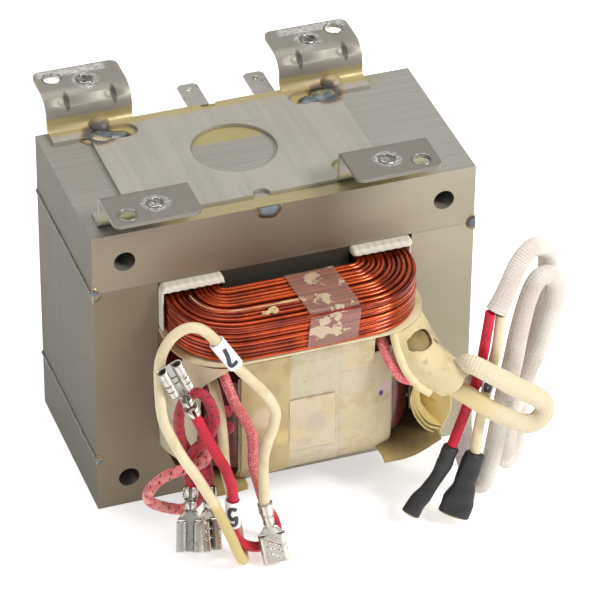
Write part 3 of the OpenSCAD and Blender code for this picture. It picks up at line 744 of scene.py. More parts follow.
@dataclass(frozen=True)
class TinPlate:
    """Tinned brass of the terminals with smudges and small scratches, over a painted reflection of the room.
    """

    slot: str = "tin_plate"
    name: str = "tin_plate"
    base: Colour = "#dedbd4"
    dull: Colour = "#9e9484"

    def make(self) -> Material:
        """Draws the finish.

        Returns:
            Its material.
        """
        s = NodeSketch(self.name)
        cloud = s.noise(0.35, 5, 0.65)
        # Painted reflection: a ramp of light and dark bands by which way the surface faces, standing in for
        # the room.
        x, y, z = s.parts(s.node("ShaderNodeNewGeometry", {}, "Normal"))
        facing = x * 0.62 + y * -0.28 + z * 0.73
        painted_room_reflection = s.ramp(s.span(facing, -1, 1), (0.0, "#96928a"), (0.3, "#46423c"), (0.46, "#e2dfd9"),
                      (0.58, "#c4c0b9"), (0.7, "#68635c"), (0.84, "#f0eeea"))
        colour = s.mix(0.62, s.mix(s.span(cloud, 0.52, 0.78), self.base, self.dull), painted_room_reflection, "MULTIPLY")
        s.bump(s.noise(1.0, 4, place=s.place(3.0, 3.0, 0.3)), 0.02, 0.4)
        return s.finish(colour, s.span(cloud, 0.3, 0.7, 0.2, 0.34), Metallic=0.9)


@dataclass(frozen=True)
class WireEnamel:
    """Copper wire under glossy amber enamel, dark where varnish has run."""

    slot: str = "copper_enamel"
    bright: Colour = "#c6501c"
    deep: Colour = "#7a240e"

    def make(self) -> Material:
        """Draws the finish.

        Returns:
            Its material.
        """
        s = NodeSketch("copper_enamel")
        along = s.noise(0.12, 3, 0.6)
        colour = s.mix(s.span(s.value("turn") * 0.35 + along, 0.35, 0.9), self.deep, self.bright)
        drip = s.span(s.noise(0.4, 4, 0.6, s.place(0.5, 0.5, 1.2)), 0.62, 0.72)
        colour = s.mix(drip * 0.4, colour, "#682018")
        rough = s.span(along, 0.3, 0.7, 0.18, 0.28)
        return s.finish(colour, rough, Metallic=0.75, Coat_Weight=0.4, Coat_Roughness=0.1)


@dataclass(frozen=True)
class FineWire:
    """Hair-fine enamelled wire, wound close in many turns, with painted pale broken glints."""

    slot: str = "fine_enamel"

    def make(self) -> Material:
        """Draws the finish.

        Returns:
            Its material.
        """
        s = NodeSketch("fine_enamel")
        cloud = s.noise(0.5, 5, 0.6, s.place(0.3, 0.3, 1.2))
        colour = s.mix(s.span(cloud, 0.3, 0.75), "#3e1016", "#7a2628")
        # Painted highlights: pale broken glints along the turns.
        whisk = s.span(s.noise(1.2, 5, 0.7, s.place(0.25, 0.25, 4.0)), 0.6, 0.74)
        colour = s.mix(whisk * 0.45, colour, "#c4968e")
        return s.finish(colour, 0.3, Metallic=0.2, Coat_Weight=0.4, Coat_Roughness=0.15)


class PaperKind(Enum):
    """The papers of the coils."""

    LINER = "liner_paper"
    WRAP = "wrap_paper"
    GREY = "grey_paper"
    AMBER = "amber_paper"
    PATCH = "patch_paper"
    OLIVE = "olive_paper"
    BEIGE = "beige_paper"
    POUCH = "pouch_paper"
    CONE = "cone_paper"
    ROLL = "roll_paper"
    FLOOR = "floor_paper"
    SCRAP = "scrap_paper"
    INSIDE = "cavity_shade_paper"
    BACK = "back_paper"
    RIM = "rim_paper"


@dataclass(frozen=True)
class Paper:
    """Insulating paper, darker where varnish has soaked in, woven where it is cloth-backed."""

    kind: PaperKind
    clean: Colour
    stain: Colour
    soaked: float
    weave: float = 0.0
    spots: tuple[Spot, ...] = ()

    @property
    def slot(self) -> str:
        """The record's slot for this paper."""
        return "liner_paper" if self.kind is PaperKind.LINER else "varnished_paper"

    def make(self) -> Material:
        """Draws the finish.

        Returns:
            Its material.
        """
        s = NodeSketch(self.kind.value)
        cloud = s.noise(0.1, 6, 0.6)
        patch = s.noise(0.22, 4, 0.6, s.place(0.7, 0.7, 1.3))
        wet = s.span(cloud * 0.6 + patch * 0.4, 0.62 - self.soaked * 0.3, 0.72 - self.soaked * 0.2)
        colour = s.mix(wet * 0.7, self.clean, self.stain)
        tide = s.span(abs(wet - 0.5), 0.35, 0.0)
        colour = s.mix(tide * 0.12, colour, "#967e54")
        fibre = s.noise(1.0, 5, 0.65, s.place(2.2, 2.2, 0.6))
        colour = s.mix(s.span(fibre, 0.55, 0.75, 0, 0.1), colour, "#9e8e6e")
        grime = s.span(s.noise(0.17, 7, 0.72, s.place(1, 1, 0.8)), 0.48, 0.72)
        colour = s.mix(grime * (0.9 * self.soaked), colour, "#8e7c56")
        if self.weave:
            x, _, z = s.parts(s.place())
            cloth = s.math("SINE", z * (TURN / 0.7)) * 0.45 + s.math("SINE", x * (TURN / 0.62))
            colour = s.mix(s.span(cloth, 0.1, -1.2, 0, self.weave * 0.09), colour, "#92825c")
            s.bump(cloth, 0.02, self.weave)
            # Darker towards the bottom.
            colour = s.mix(s.span(z, 23, 15.5, 0, 0.5), colour, "#80704e")
        ragged = s.noise(0.7, 4, 0.6) * 1.6 - 0.8
        # Spots are stains or patches of painted shade.
        for spot in self.spots:
            far = s.near(spot.at) + ragged * min(1.0, spot.reach / 2)
            colour = s.mix(s.span(far, spot.reach, spot.reach * 0.4, 0, spot.strength), colour, spot.tint)
        s.bump(fibre, 0.05, 0.4)
        s.bump(cloud, 0.3, 0.2)
        return s.finish(colour, s.span(wet, 0, 1, 0.66, 0.46), Specular_IOR_Level=0.4)


@dataclass(frozen=True)
class ClearTape:
    """Clear film with ragged patches of dried adhesive."""

    slot: str = "clear_tape"
    name: str = "clear_tape"
    paste: float = 0.55

    def make(self) -> Material:
        """Draws the finish.

        Returns:
            Its material.
        """
        s = NodeSketch(self.name)
        dried = s.span(s.noise(0.2, 5, 0.62, s.place(0.8, 0.8, 1.0)), self.paste, self.paste + 0.03)
        colour = s.mix(dried, "#b0887c", "#ceb896")
        s.bump(s.noise(0.5, 3), 0.15, 0.35)
        clear = s.span(dried, 0, 1, 0.32, 0.7)
        return s.finish(colour, 0.2, Alpha=clear, Coat_Weight=0.5, Coat_Roughness=0.08)


@dataclass(frozen=True)
class Insulation:
    """Silicone insulation of a lead, with a pale woven fuzz up to a length where it has one."""

    slot: str
    name: str
    tint: Colour
    shade: Colour
    fleck: Colour = "#f0cec8"
    fuzzy_to: float = 0.0
    stained: tuple[float, float] = (0.0, 0.0)

    def make(self) -> Material:
        """Draws the finish.

        Returns:
            Its material.
        """
        s = NodeSketch(self.name)
        cloud = s.noise(0.18, 4, 0.6)
        colour = s.mix(s.span(cloud, 0.35, 0.75), self.tint, self.shade)
        along = s.parts(s.value("lay", "Vector"))[2]
        start, end = self.stained
        if end:
            soaked = s.span(along, start, start + 14) * s.span(along, end, end - 4)
            colour = s.mix(soaked, colour, "#c0ae74")
        if self.fuzzy_to:
            fades = s.span(along, self.fuzzy_to, self.fuzzy_to * 0.75)
            dots = s.span(s.cells(2.4), 0.5, 0.22)
            worn = s.span(s.noise(0.35, 3), 0.35, 0.65, 0.55, 1.0)
            colour = s.mix(fades * 0.42, colour, "#e2807c")
            colour = s.mix(dots * fades * (worn * 0.8), colour, self.fleck)
            s.bump(dots, 0.06, 0.5)
        s.bump(s.noise(1.2, 3), 0.03, 0.3)
        return s.finish(colour, s.span(cloud, 0.3, 0.7, 0.34, 0.46), Specular_IOR_Level=0.35)


@dataclass(frozen=True)
class Braid:
    """Red braided sleeve with a dark tracer yarn, faded pink where it is worn."""

    slot: str = "red_braid"
    name: str = "red_braid"
    faded: tuple[float, float] = (0.0, 0.0)
    yarns: int = 8
    lay_length: float = 7.0

    def make(self) -> Material:
        """Draws the finish.

        Returns:
            Its material.
        """
        s = NodeSketch(self.name)
        x, y, length = s.parts(s.value("lay", "Vector"))
        round_way, along = s.math("ARCTAN2", y, x) / TURN, length / self.lay_length
        right, left = round_way + along, round_way - along
        ribs = s.math("SINE", right * (TURN * self.yarns)) * s.math("SINE", left * (TURN * self.yarns))
        cloud = s.noise(0.3, 4)
        colour = s.mix(s.span(ribs, -0.8, 0.8), "#7e061e", "#c41034")
        start, end = self.faded
        if end > start:
            worn = s.span(length, start - 6, start + 6) * s.span(length, end + 6, end - 6)
            pale = s.mix(s.span(cloud, 0.3, 0.7), "#be3e50", "#e49c92")
            colour = s.mix(worn * 0.8, colour, pale)
        line = s.span(s.math("FRACT", right * 2.0), 0.2, 0.14)
        dash = s.span(s.math("FRACT", left * 3.0), 0.56, 0.48)
        colour = s.mix(line * dash * 0.94, colour, "#1c161a")
        s.bump(ribs, 0.06, 0.5)
        return s.finish(colour, 0.62, Sheen_Weight=0.2)


@dataclass(frozen=True)
class WovenSleeve:
    """Woven glass sleeve: soaked in varnish at first, then cream, then white with a pinkish cast."""

    slot: str = "white_sleeve"
    columns: int = 32
    stitch: float = 0.72
    soaked_to: float = 38.0
    cream_to: float = 118.0

    def make(self) -> Material:
        """Draws the finish.

        Returns:
            Its material.
        """
        s = NodeSketch("woven_sleeve")
        x, y, length = s.parts(s.value("lay", "Vector"))
        across = abs(s.math("FRACT", s.math("ARCTAN2", y, x) * (self.columns / TURN)) - 0.5)
        loops = s.math("SINE", (across + length / self.stitch) * TURN)
        dry = s.span(length, self.soaked_to - 6, self.soaked_to + 6)
        knit = (loops * 0.5 + s.span(across, 0.5, 0.2)) * dry
        cloud = s.noise(0.06, 3)
        white = s.mix(s.span(cloud, 0.4, 0.62), "#f1ede4", "#e2d5cd")
        cream = s.span(length, self.cream_to * 1.12, self.cream_to * 0.9)
        soaked = s.mix(s.span(cloud, 0.35, 0.65), "#bea770", "#ccb886")
        colour = s.mix(dry, soaked, s.mix(cream, white, "#e8dcbc"))
        colour = s.mix(s.span(knit, 0.6, -0.4, 0, 0.46) * dry, colour, "#9e8e74")
        s.bump(knit, 0.14, 0.8)
        return s.finish(colour, s.span(dry, 0, 1, 0.42, 0.72), Sheen_Weight=0.1)


@dataclass(frozen=True)
class ShrinkRubber:
    """Shrunk black tubing, satin with fine wrinkles and a worn pale rim."""

    slot: str = "heat_shrink"

    def make(self) -> Material:
        """Draws the finish.

        Returns:
            Its material.
        """
        s = NodeSketch("heat_shrink")
        cloud = s.noise(0.25, 5)
        colour = s.mix(cloud, "#141416", "#2e2d2f")
        colour = s.mix(s.span(s.value("rim"), 0.4, 0.9), colour, "#b09c80")
        s.bump(s.noise(0.9, 5, 0.65), 0.12, 0.5)
        return s.finish(colour, s.span(cloud, 0.3, 0.7, 0.42, 0.6))


@dataclass(frozen=True)
class PlainPlastic:
    """Smooth plastic, ink or wrap of one tint, with faint handling marks."""

    slot: str
    name: str
    tint: Colour
    worn: Colour
    rough: float = 0.4

    def make(self) -> Material:
        """Draws the finish.

        Returns:
            Its material.
        """
        s = NodeSketch(self.name)
        cloud = s.noise(0.6, 4)
        colour = s.mix(s.span(cloud, 0.45, 0.8), self.tint, self.worn)
        return s.finish(colour, s.span(cloud, 0.3, 0.7, self.rough, self.rough + 0.12))


@functools.cache
def material_of(finish: Finish) -> Material:
    """Draws a finish the first time, and gives the same material after that."""
    return finish.make()


def settle(piece: Piece, finish: Finish, *nodes: str) -> Piece:
    """Dresses a piece, lets it ride on the body and has it stand for its nodes.

    Args:
        piece: The finished object.
        finish: What it is made of.
        nodes: Nodes that the piece stands for.

    Returns:
        The same piece.
    """
    piece.data.materials.clear()
    piece.data.materials.append(material_of(finish))
    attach(piece, BODY)
    if nodes:
        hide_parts(*nodes)
    LOG.info("%s stands for %s", piece.name, ", ".join(nodes) or "itself")
    return piece


# Routes of the leads, in millimetres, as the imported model's own lead solids follow them
CREAM_LEFT = [[-28, -44.5, 52.6], [-28, -47.5, 51], [-28, -50.2, 48.5], [-28, -52.4, 45.5],
    [-28, -55, 38], [-28, -57, 29], [-26.5, -58, 20.5], [-25.5, -59, 11], [-25, -60.5, 5],
    [-25, -64, 1.8], [-26.5, -67, 4], [-28.5, -68.5, 9], [-30, -69, 13.5], [-32, -68.5, 19],
    [-34, -68, 24.5], [-36.5, -67.5, 30], [-39.5, -67, 36.5], [-43, -66, 43], [-46, -65, 50],
    [-48, -63, 56], [-48, -60.5, 63], [-47.5, -58.5, 70], [-46, -57.5, 75], [-43, -57, 79],
    [-39.5, -57.5, 81.3], [-36, -58, 81], [-33.5, -58.5, 79], [-31.5, -59, 76.5], [-28.5, -60, 71.7],
    [-25.5, -61, 66.9], [-21, -62.5, 61.5], [-17.5, -63, 56.5], [-15.5, -63.5, 51.5], [-16, -63.5, 46.5],
    [-17.5, -63, 41], [-18.5, -62.5, 34.5], [-18.5, -62.5, 27], [-18.5, -63.5, 19.7]]
RED_LEFT = [[-24, -39.8, 55.2], [-25, -44, 55.8], [-25.5, -48.5, 55.5], [-25, -52, 52.5], [-24, -54, 49],
    [-22, -55, 45], [-20, -55.5, 40], [-19.5, -56, 35], [-19.5, -56.5, 28.5], [-18, -56.5, 21],
    [-16, -56.5, 13.5], [-13.5, -57, 7.5], [-13, -58.5, 4], [-14.5, -60.5, 2.4], [-18, -62, 3],
    [-21.5, -63.5, 4.5], [-25, -64.3, 7], [-27.5, -64.8, 10.5], [-28.5, -65, 14.5], [-28.5, -65, 19.5],
    [-28.5, -65, 25], [-29, -65, 30], [-30.5, -64.5, 35.5], [-33, -63.5, 41], [-35.5, -62.5, 47],
    [-37.5, -61.5, 52], [-38.5, -61, 54.5]]
BRAID_A = [[-23.8, -48.4, 37], [-26, -50.2, 37.3], [-28.5, -50.8, 36.3], [-31.5, -53.4, 34.6],
    [-34.5, -57.4, 34.2], [-38, -59.6, 35], [-41.5, -60.2, 35], [-45, -59.5, 33.8], [-48, -58.5, 31.5],
    [-50, -57, 28], [-50.5, -55.5, 24], [-48.5, -54, 20], [-44, -52.5, 16.2], [-39, -52, 14],
    [-35.5, -52.5, 16], [-33.5, -53.5, 20.5], [-33, -53.5, 25], [-34.2, -52.4, 29.5],
    [-37.5, -51.6, 34.5], [-40, -53.5, 41], [-41, -55, 48.5], [-40, -55.5, 54], [-37, -56, 57.5],
    [-34, -56.8, 56.5], [-32, -57.5, 52], [-31.5, -57.8, 47], [-33.5, -57, 41.5], [-36.8, -55.2, 36.3],
    [-38.3, -55.6, 31], [-38.5, -57.5, 26]]
BRAID_B = [[-24, -48.4, 42.5], [-26.5, -48.9, 43.4], [-30, -49.4, 42.2], [-32.3, -50, 38],
    [-32.3, -49.8, 33], [-31.5, -49.5, 28], [-30.6, -49.3, 23], [-30.5, -49.3, 18]]
RED_INNER = [[22, -40.6, 55.2], [22, -45, 55.6], [22.3, -49.5, 53.5], [23.5, -52.5, 50], [25.5, -54, 47],
    [28.5, -54.8, 45.5], [32, -54.5, 43.5], [35, -54, 41.5], [37.5, -53.5, 40]]
SLEEVE_TIE = [[29, -43, 56.4], [29, -47, 55.8], [30, -51, 53.5], [31.5, -54.5, 50.5], [34.5, -58, 47.5],
    [37.5, -60, 45.5], [40.5, -62, 44], [44.5, -64, 41], [48.5, -65, 37.5], [54.5, -66, 33.5],
    [59, -66.3, 30.5], [62.5, -66.3, 30.5], [65, -66.2, 33], [65, -66, 36.5], [62, -66, 39.8],
    [57, -66, 43.5], [51, -66, 48.5], [46, -65.8, 52.5], [42.5, -64, 54.5], [41.5, -61, 52.5],
    [43.2, -57.2, 47], [45, -55, 42]]
SLEEVE_FOLDED = [[45.3, -54.7, 41.2], [44.8, -54.2, 34.5], [44.5, -54, 27], [45.5, -54, 17.5],
    [47, -55.5, 9], [49.3, -57.5, 3.6], [51.5, -58.8, 9.5], [54, -58.5, 24], [56, -58, 36],
    [58, -57.5, 45.5], [60, -57, 57.5], [62.5, -56.5, 68], [65.5, -56, 73.8], [69.5, -54.8, 73],
    [72, -53.8, 67.5], [71.5, -53, 60.5], [69, -52.5, 48.5], [65, -52, 37.5], [61.5, -51, 24],
    [60.5, -50.5, 12.5], [60.5, -49.8, 6], [62.5, -47.8, 3.4], [64.5, -46, 6], [65.5, -45.5, 13],
    [66.5, -45.5, 23], [69, -45.8, 37], [71, -46.3, 51.5], [72, -47, 64.5], [71, -49, 76],
    [66.5, -52.5, 82], [61.5, -56.5, 83.8], [57.5, -58.5, 80.5], [54.5, -60, 75], [51, -61, 68.5]]
RED_RIGHT = [[49.1, -61.1, 68.7], [48.3, -61, 61.5], [47.7, -60.5, 54], [47, -59.6, 46],
    [45, -59.5, 39.5], [43, -59.7, 33.5], [41, -60.3, 28.5], [39, -61, 24]]
CREAM_RIGHT = [[52.4, -61.1, 67.2], [52, -61.3, 62.5], [51.5, -61, 55], [50.5, -60.3, 47.5],
    [49.5, -60.3, 41.5], [48, -60.8, 34.5], [46.5, -62, 28.5], [45.5, -63, 21.5]]


@dataclass
class Tube:
    """A tube swept along a route, which keeps what lies along and around it for its finish."""

    name: str
    path: Points
    radius: float
    sides: int = 14
    relief: Relief | None = None
    wide: Points | float = 1.0
    thin: Points | float = 1.0
    open_end: bool = False
    closed: bool = False

    def offsets(self) -> tuple[Points, Points, Points]:
        """Works out the rings of the tube.

        Returns:
            The rings' points, the angle of each side, and the length along at each ring.
        """
        dirs, first, second = carried_frames(self.path, self.closed)
        angle = np.arange(self.sides) * TURN / self.sides
        along = lengths_along(self.path)
        reach = np.full((len(self.path), self.sides), self.radius)
        if self.relief:
            reach = reach + self.relief(angle[None, :], along[:, None])
        cos, sin = (wave(angle)[None, :, None] for wave in (np.cos, np.sin))
        ring = reach[..., None] * (cos * first[:, None] + sin * second[:, None])
        wide = np.broadcast_to(np.asarray(self.wide, float), (len(self.path),))
        thin = np.broadcast_to(np.asarray(self.thin, float), (len(self.path),))
        across = unit(FACING - (dirs @ FACING)[:, None] * dirs)
        part = np.einsum("ijk,ik->ij", ring, across)
        ring = ring * wide[:, None, None] - ((wide - thin)[:, None] * part)[..., None] * across[:, None]
        return self.path[:, None] + ring, angle, along

    def build(self) -> Piece:
        """Makes the tube's mesh, with its ends closed or turned in.

        Returns:
            The new object.
        """
        rings, angle, along = self.offsets()
        lay = np.zeros((len(rings), self.sides, 3))
        lay[..., 0] = np.cos(angle)[None]
        lay[..., 1] = np.sin(angle)[None]
        lay[..., 2] = along[:, None]
        if self.open_end:
            bore, depth = 0.82, 6
            inner = [self.path[-k] + bore * (rings[-k] - self.path[-k]) for k in range(1, depth + 1)]
            rings = np.concatenate([rings, np.array(inner)])
            lay = np.concatenate([lay, lay[-1:-depth - 1:-1]])
        faces = grid_faces(len(rings), self.sides, wrap_rows=self.closed, wrap_columns=True)
        points, lay = rings.reshape(-1, 3), lay.reshape(-1, 3)
        if not self.closed:
            faces += end_fans(len(rings), self.sides)
            points = np.vstack([points, rings[0].mean(0), rings[-1].mean(0)])
            lay = np.vstack([lay, lay[0], lay[-1]])
        made = mesh_piece(self.name, points, faces, 70)
        give_values(made, "lay", lay)
        give_values(made, "rim", np.zeros(len(points)))
        return made


@dataclass
class Sheet:
    """Thin paper draped through rows of points, softly crumpled, with a hole where it has one."""

    name: str
    rows: Sequence[Sequence[Sequence[float]]]
    thick: float = 0.3
    down: int = 44
    across: int = 44
    crumple: float = 0.12
    ragged: float = 0.0
    hole: tuple[float, float, float, float] | None = None
    seed: int = 0
    waves: int = 7
    lowest: float = 0.3

    def places(self, rng: Random) -> tuple[Points, Points]:
        """Spreads the sheet's points over its rows.

        Args:
            rng: Source of the ragged edge.

        Returns:
            The places down and across the rows.
        """
        u, v = np.meshgrid(np.linspace(0, 1, self.down), np.linspace(0, 1, self.across), indexing="ij")
        if self.ragged:
            u = u * (1 + wobble(v * 5, rng, self.ragged, 12))
            v = v + (v - 0.5) * wobble(u * 4, rng, self.ragged, 9)
        return u, v

    def build(self) -> Piece:
        """Makes the sheet's mesh and gives it its thickness.

        Returns:
            The new object.
        """
        rng = np.random.default_rng(SEED + self.seed)
        u, v = self.places(rng)
        faces = grid_faces(self.down, self.across)
        if self.hole:
            cu, cv, ru, rv = self.hole
            rim = 1 + wobble(np.arctan2((v - cv) / rv, (u - cu) / ru), rng, 0.12, 7)
            far = np.hypot((u - cu) / ru, (v - cv) / rv) / rim
            inside = far.ravel() < 1
            faces = [f for f in faces if not all(inside[k] for k in f)]
            out = np.where(far < 1, 1 / np.maximum(far, 0.2), 1.0)
            u, v = cu + (u - cu) * out, cv + (v - cv) * out
        spots = surface_at(self.rows, u, v)
        normals = unit(np.cross(np.gradient(spots, axis=0), np.gradient(spots, axis=1)))
        wave = np.zeros(u.shape)
        for _ in range(self.waves):
            wave += np.sin(spots @ rng.normal(0, 0.45, 3) + rng.uniform(0, TURN))
        spots = spots + (self.crumple * wave / 3)[..., None] * normals
        kept = sorted({k for f in faces for k in f})
        place = {k: i for i, k in enumerate(kept)}
        points = spots.reshape(-1, 3)[kept]
        points[:, 2] = np.maximum(points[:, 2], self.lowest)
        return thicken(mesh_piece(self.name, points, [[place[k] for k in f] for f in faces]), self.thick)


def dome(name: str, placing: Matrix, reach: tuple[float, float], rise: float, rng: Random,
         box: tuple[Points, Points] | None = None) -> Piece:
    """Makes a low uneven dome, which keeps how near its rim each point is for its finish.

    Args:
        name: Name of the piece.
        placing: Puts it in place, from the middle of its underside, with its top towards +Z.
        reach: Half its width and half its depth.
        rise: Height of its middle.
        rng: Source of its uneven rim.
        box: Corners of the space that it is cut off at, if it is.

    Returns:
        The dome as one closed mesh.
    """
    rings, sides, sunk = 9, 40, -0.05
    turn = np.arange(sides) * TURN / sides
    rim = 1 + wobble(turn, rng, 0.12)
    share = np.sin(np.linspace(0, math.pi / 2, rings))[1:]
    x = share[:, None] * (rim * reach[0] * np.cos(turn))[None]
    y = share[:, None] * (rim * reach[1] * np.sin(turn))[None]
    upper = np.stack([x, y, rise * np.broadcast_to(np.sqrt(1.02 - share**2)[:, None], x.shape)], -1)
    base = upper[-1:] * (1, 1, 0) + (0, 0, sunk)
    points = np.vstack([np.concatenate([upper, base]).reshape(-1, 3), (0, 0, rise * 1.01), (0, 0, sunk)])
    points = placed(points, placing)
    if box:
        points = np.clip(points, *box)
    faces = grid_faces(rings, sides, wrap_columns=True) + end_fans(rings, sides)
    made = mesh_piece(name, points, faces, 70)
    give_values(made, "rim", np.concatenate([np.repeat(np.append(share, 1.0), sides), [0.0, 1.0]]))
    return turn_outward(made)


@dataclass
class LaminatedCore:
    """The E and I stacks as loose sheets, with the welds that hold them."""

    weld: WeldSteel = WeldSteel()
    puddle: PuddleSteel = PuddleSteel()
    sheet_t: float = 0.5
    sheet_gap: float = 0.02
    jitter: float = 0.006
    joint: float = 0.05
    hole_d: float = 6.2
    hole_sides: int = 28
    window_w: float = 19.0
    centre_w: float = 38.0
    yoke_h: float = 19.0
    bead_r: float = 0.75

    def __post_init__(self) -> None:
        """Takes the stacks' sizes from the frame."""
        self.low, e_high = node_box("core_e_stack")
        self.high = node_box("core_i_stack")[1]
        self.seam = float(e_high[2])

    def holes(self, z: float) -> list[Outline]:
        """Draws the two corner holes at one height.

        Args:
            z: Height of the holes' middle.

        Returns:
            One ring of points for each hole.
        """
        x = self.high[0] - (self.high[0] - self.centre_w / 2 - self.window_w) / 2
        turns = [TURN * k / self.hole_sides for k in range(self.hole_sides)]
        r = self.hole_d / 2
        return [[(side * x + r * math.cos(a), z + r * math.sin(a)) for a in turns] for side in SIDES]

    def e_rings(self) -> list[Outline]:
        """Draws one E sheet.

        Returns:
            Its outline and its holes.
        """
        w, c, o = float(self.high[0]), self.centre_w / 2, self.centre_w / 2 + self.window_w
        y, s = self.yoke_h, self.seam - self.joint
        half = [(w, 0), (w, s), (o, s), (o, y), (c, y), (c, s)]
        return [[(-w, 0), *half, *((-x, z) for x, z in half[:0:-1])], *self.holes(y / 2)]

    def i_rings(self) -> list[Outline]:
        """Draws one I sheet: its outline and its holes."""
        w, s, t = float(self.high[0]), self.seam + self.joint, float(self.high[2])
        return [[(-w, s), (w, s), (w, t), (-w, t)], *self.holes((self.seam + t) / 2)]

    def stack(self, name: str, rings: list[Outline], rng: Random) -> Piece:
        """Piles sheets of one outline into a stack.

        Args:
            name: Name of the piece.
            rings: The sheet's outline and holes.
            rng: Source of each sheet's small shift.

        Returns:
            The stack as one mesh of loose sheets.
        """
        flat = np.array([p for ring in rings for p in ring])
        caps = geometry.tessellate_polygon([[Vector((x, z, 0)) for x, z in ring] for ring in rings])
        n = len(flat)
        walls, start = [], 0
        for ring in rings:
            for k in range(len(ring)):
                a, b = start + k, start + (k + 1) % len(ring)
                walls.append((a, b, b + n, a + n))
            start += len(ring)
        sheet = [*caps, *([n + k for k in cap[::-1]] for cap in caps), *walls]
        points, faces, tints = [], [], []
        depth = float(self.high[1] - self.low[1])
        count = round(depth / self.sheet_t)
        thick = depth / count
        for i in range(count):
            y = float(self.low[1]) + i * thick
            shift = rng.normal(0, self.jitter, 2).clip(-2 * self.jitter, 2 * self.jitter)
            if i in (0, count - 1):
                shift = shift * 0
            base = len(points)
            for yy in (y, y + thick - self.sheet_gap):
                points += [(x + shift[0], yy, max(z + shift[1] * (z > 1), 0.0)) for x, z in flat]
            faces += [[base + k for k in f] for f in sheet]
            tints += [rng.uniform()] * (2 * n)
        made = mesh_piece(name, np.array(points), faces, 25)
        made.data.validate()
        give_values(made, "sheet", np.array(tints))
        return turn_outward(made)

    def bead(self, name: str, side: int, z: float, rng: Random) -> Piece:
        """Lays a rippled weld bead along one side.

        Args:
            name: Name of the piece.
            side: 1 on the right, -1 on the left.
            z: Height of the bead.
            rng: Source of its unevenness.

        Returns:
            The bead as one mesh.
        """
        rows, columns, ripples = 160, 9, 1.3
        y = np.linspace(self.low[1] - 0.05, self.high[1], rows)
        ripple = 1 + 0.16 * np.sin(y * TURN / ripples) + 0.25 * wobble(y / 4, rng, 1.0, 12)
        angle = np.linspace(-math.pi / 2, math.pi / 2, columns)
        x = side * (self.high[0] - 0.1 + self.bead_r * 0.7 * ripple[:, None] * np.cos(angle)[None])
        height = z + wobble(y / 11, rng, 0.35)[:, None] + self.bead_r * ripple[:, None] * np.sin(angle)[None]
        points = np.stack([x, np.broadcast_to(y[:, None], x.shape), height], -1).reshape(-1, 3)
        ends = [list(range(columns)), list(range(rows * columns - 1, (rows - 1) * columns - 1, -1))]
        back = [[k, k + columns, k + 2 * columns - 1, k + columns - 1]
                for k in range(0, (rows - 1) * columns, columns)]
        return turn_outward(mesh_piece(name, points, grid_faces(rows, columns) + ends + back, 60))

    def spot(self, name: str, x: float, z: float, radius: float, rng: Random) -> Piece:
        """Drops a flat melted spot on the front face, cut off at the core's edges.

        Args:
            name: Name of the piece.
            x: Sideways place of its middle.
            z: Height of its middle.
            radius: How far it spread.
            rng: Source of its uneven rim.

        Returns:
            The spot as one closed mesh.
        """
        placing = Matrix.Translation((x, self.low[1], z)) @ Matrix.Rotation(math.pi / 2, 4, "X")
        box = self.low - (0.2, radius, 0.2), self.high + 0.2
        return dome(name, placing, (radius, radius), 0.7, rng, box)

    def build(self, pools: Sequence[Triple]) -> None:
        """Makes the stacks and their welds.

        Args:
            pools: Middle and reach of the varnish pools on the top.
        """
        rng = np.random.default_rng(SEED)
        steel = CoreSteel(pools=tuple(pools))
        settle(self.stack("core_e_sheets", self.e_rings(), rng), steel, "core_e_stack")
        settle(self.stack("core_i_sheets", self.i_rings(), rng), steel, "core_i_stack")
        for row, size in (("seam_weld", 2.5), ("stack_weld", 1.6)):
            for side in SIDES:
                node = f"{row}_{hand(side)}"
                z = float(sum(node_box(node))[2]) / 2
                settle(self.bead(f"{row}_bead_{hand(side)}", side, z, rng), self.weld, node)
                settle(self.spot(f"{row}_end_{hand(side)}", side * self.high[0], z, size, rng), self.puddle)
        x = float(sum(node_box("front_weld"))[0]) / 2 + 0.3
        spot = self.spot("front_weld_spot", x, float(self.high[2]) - 0.4, 4.0, rng)
        settle(spot, self.puddle, "front_weld")


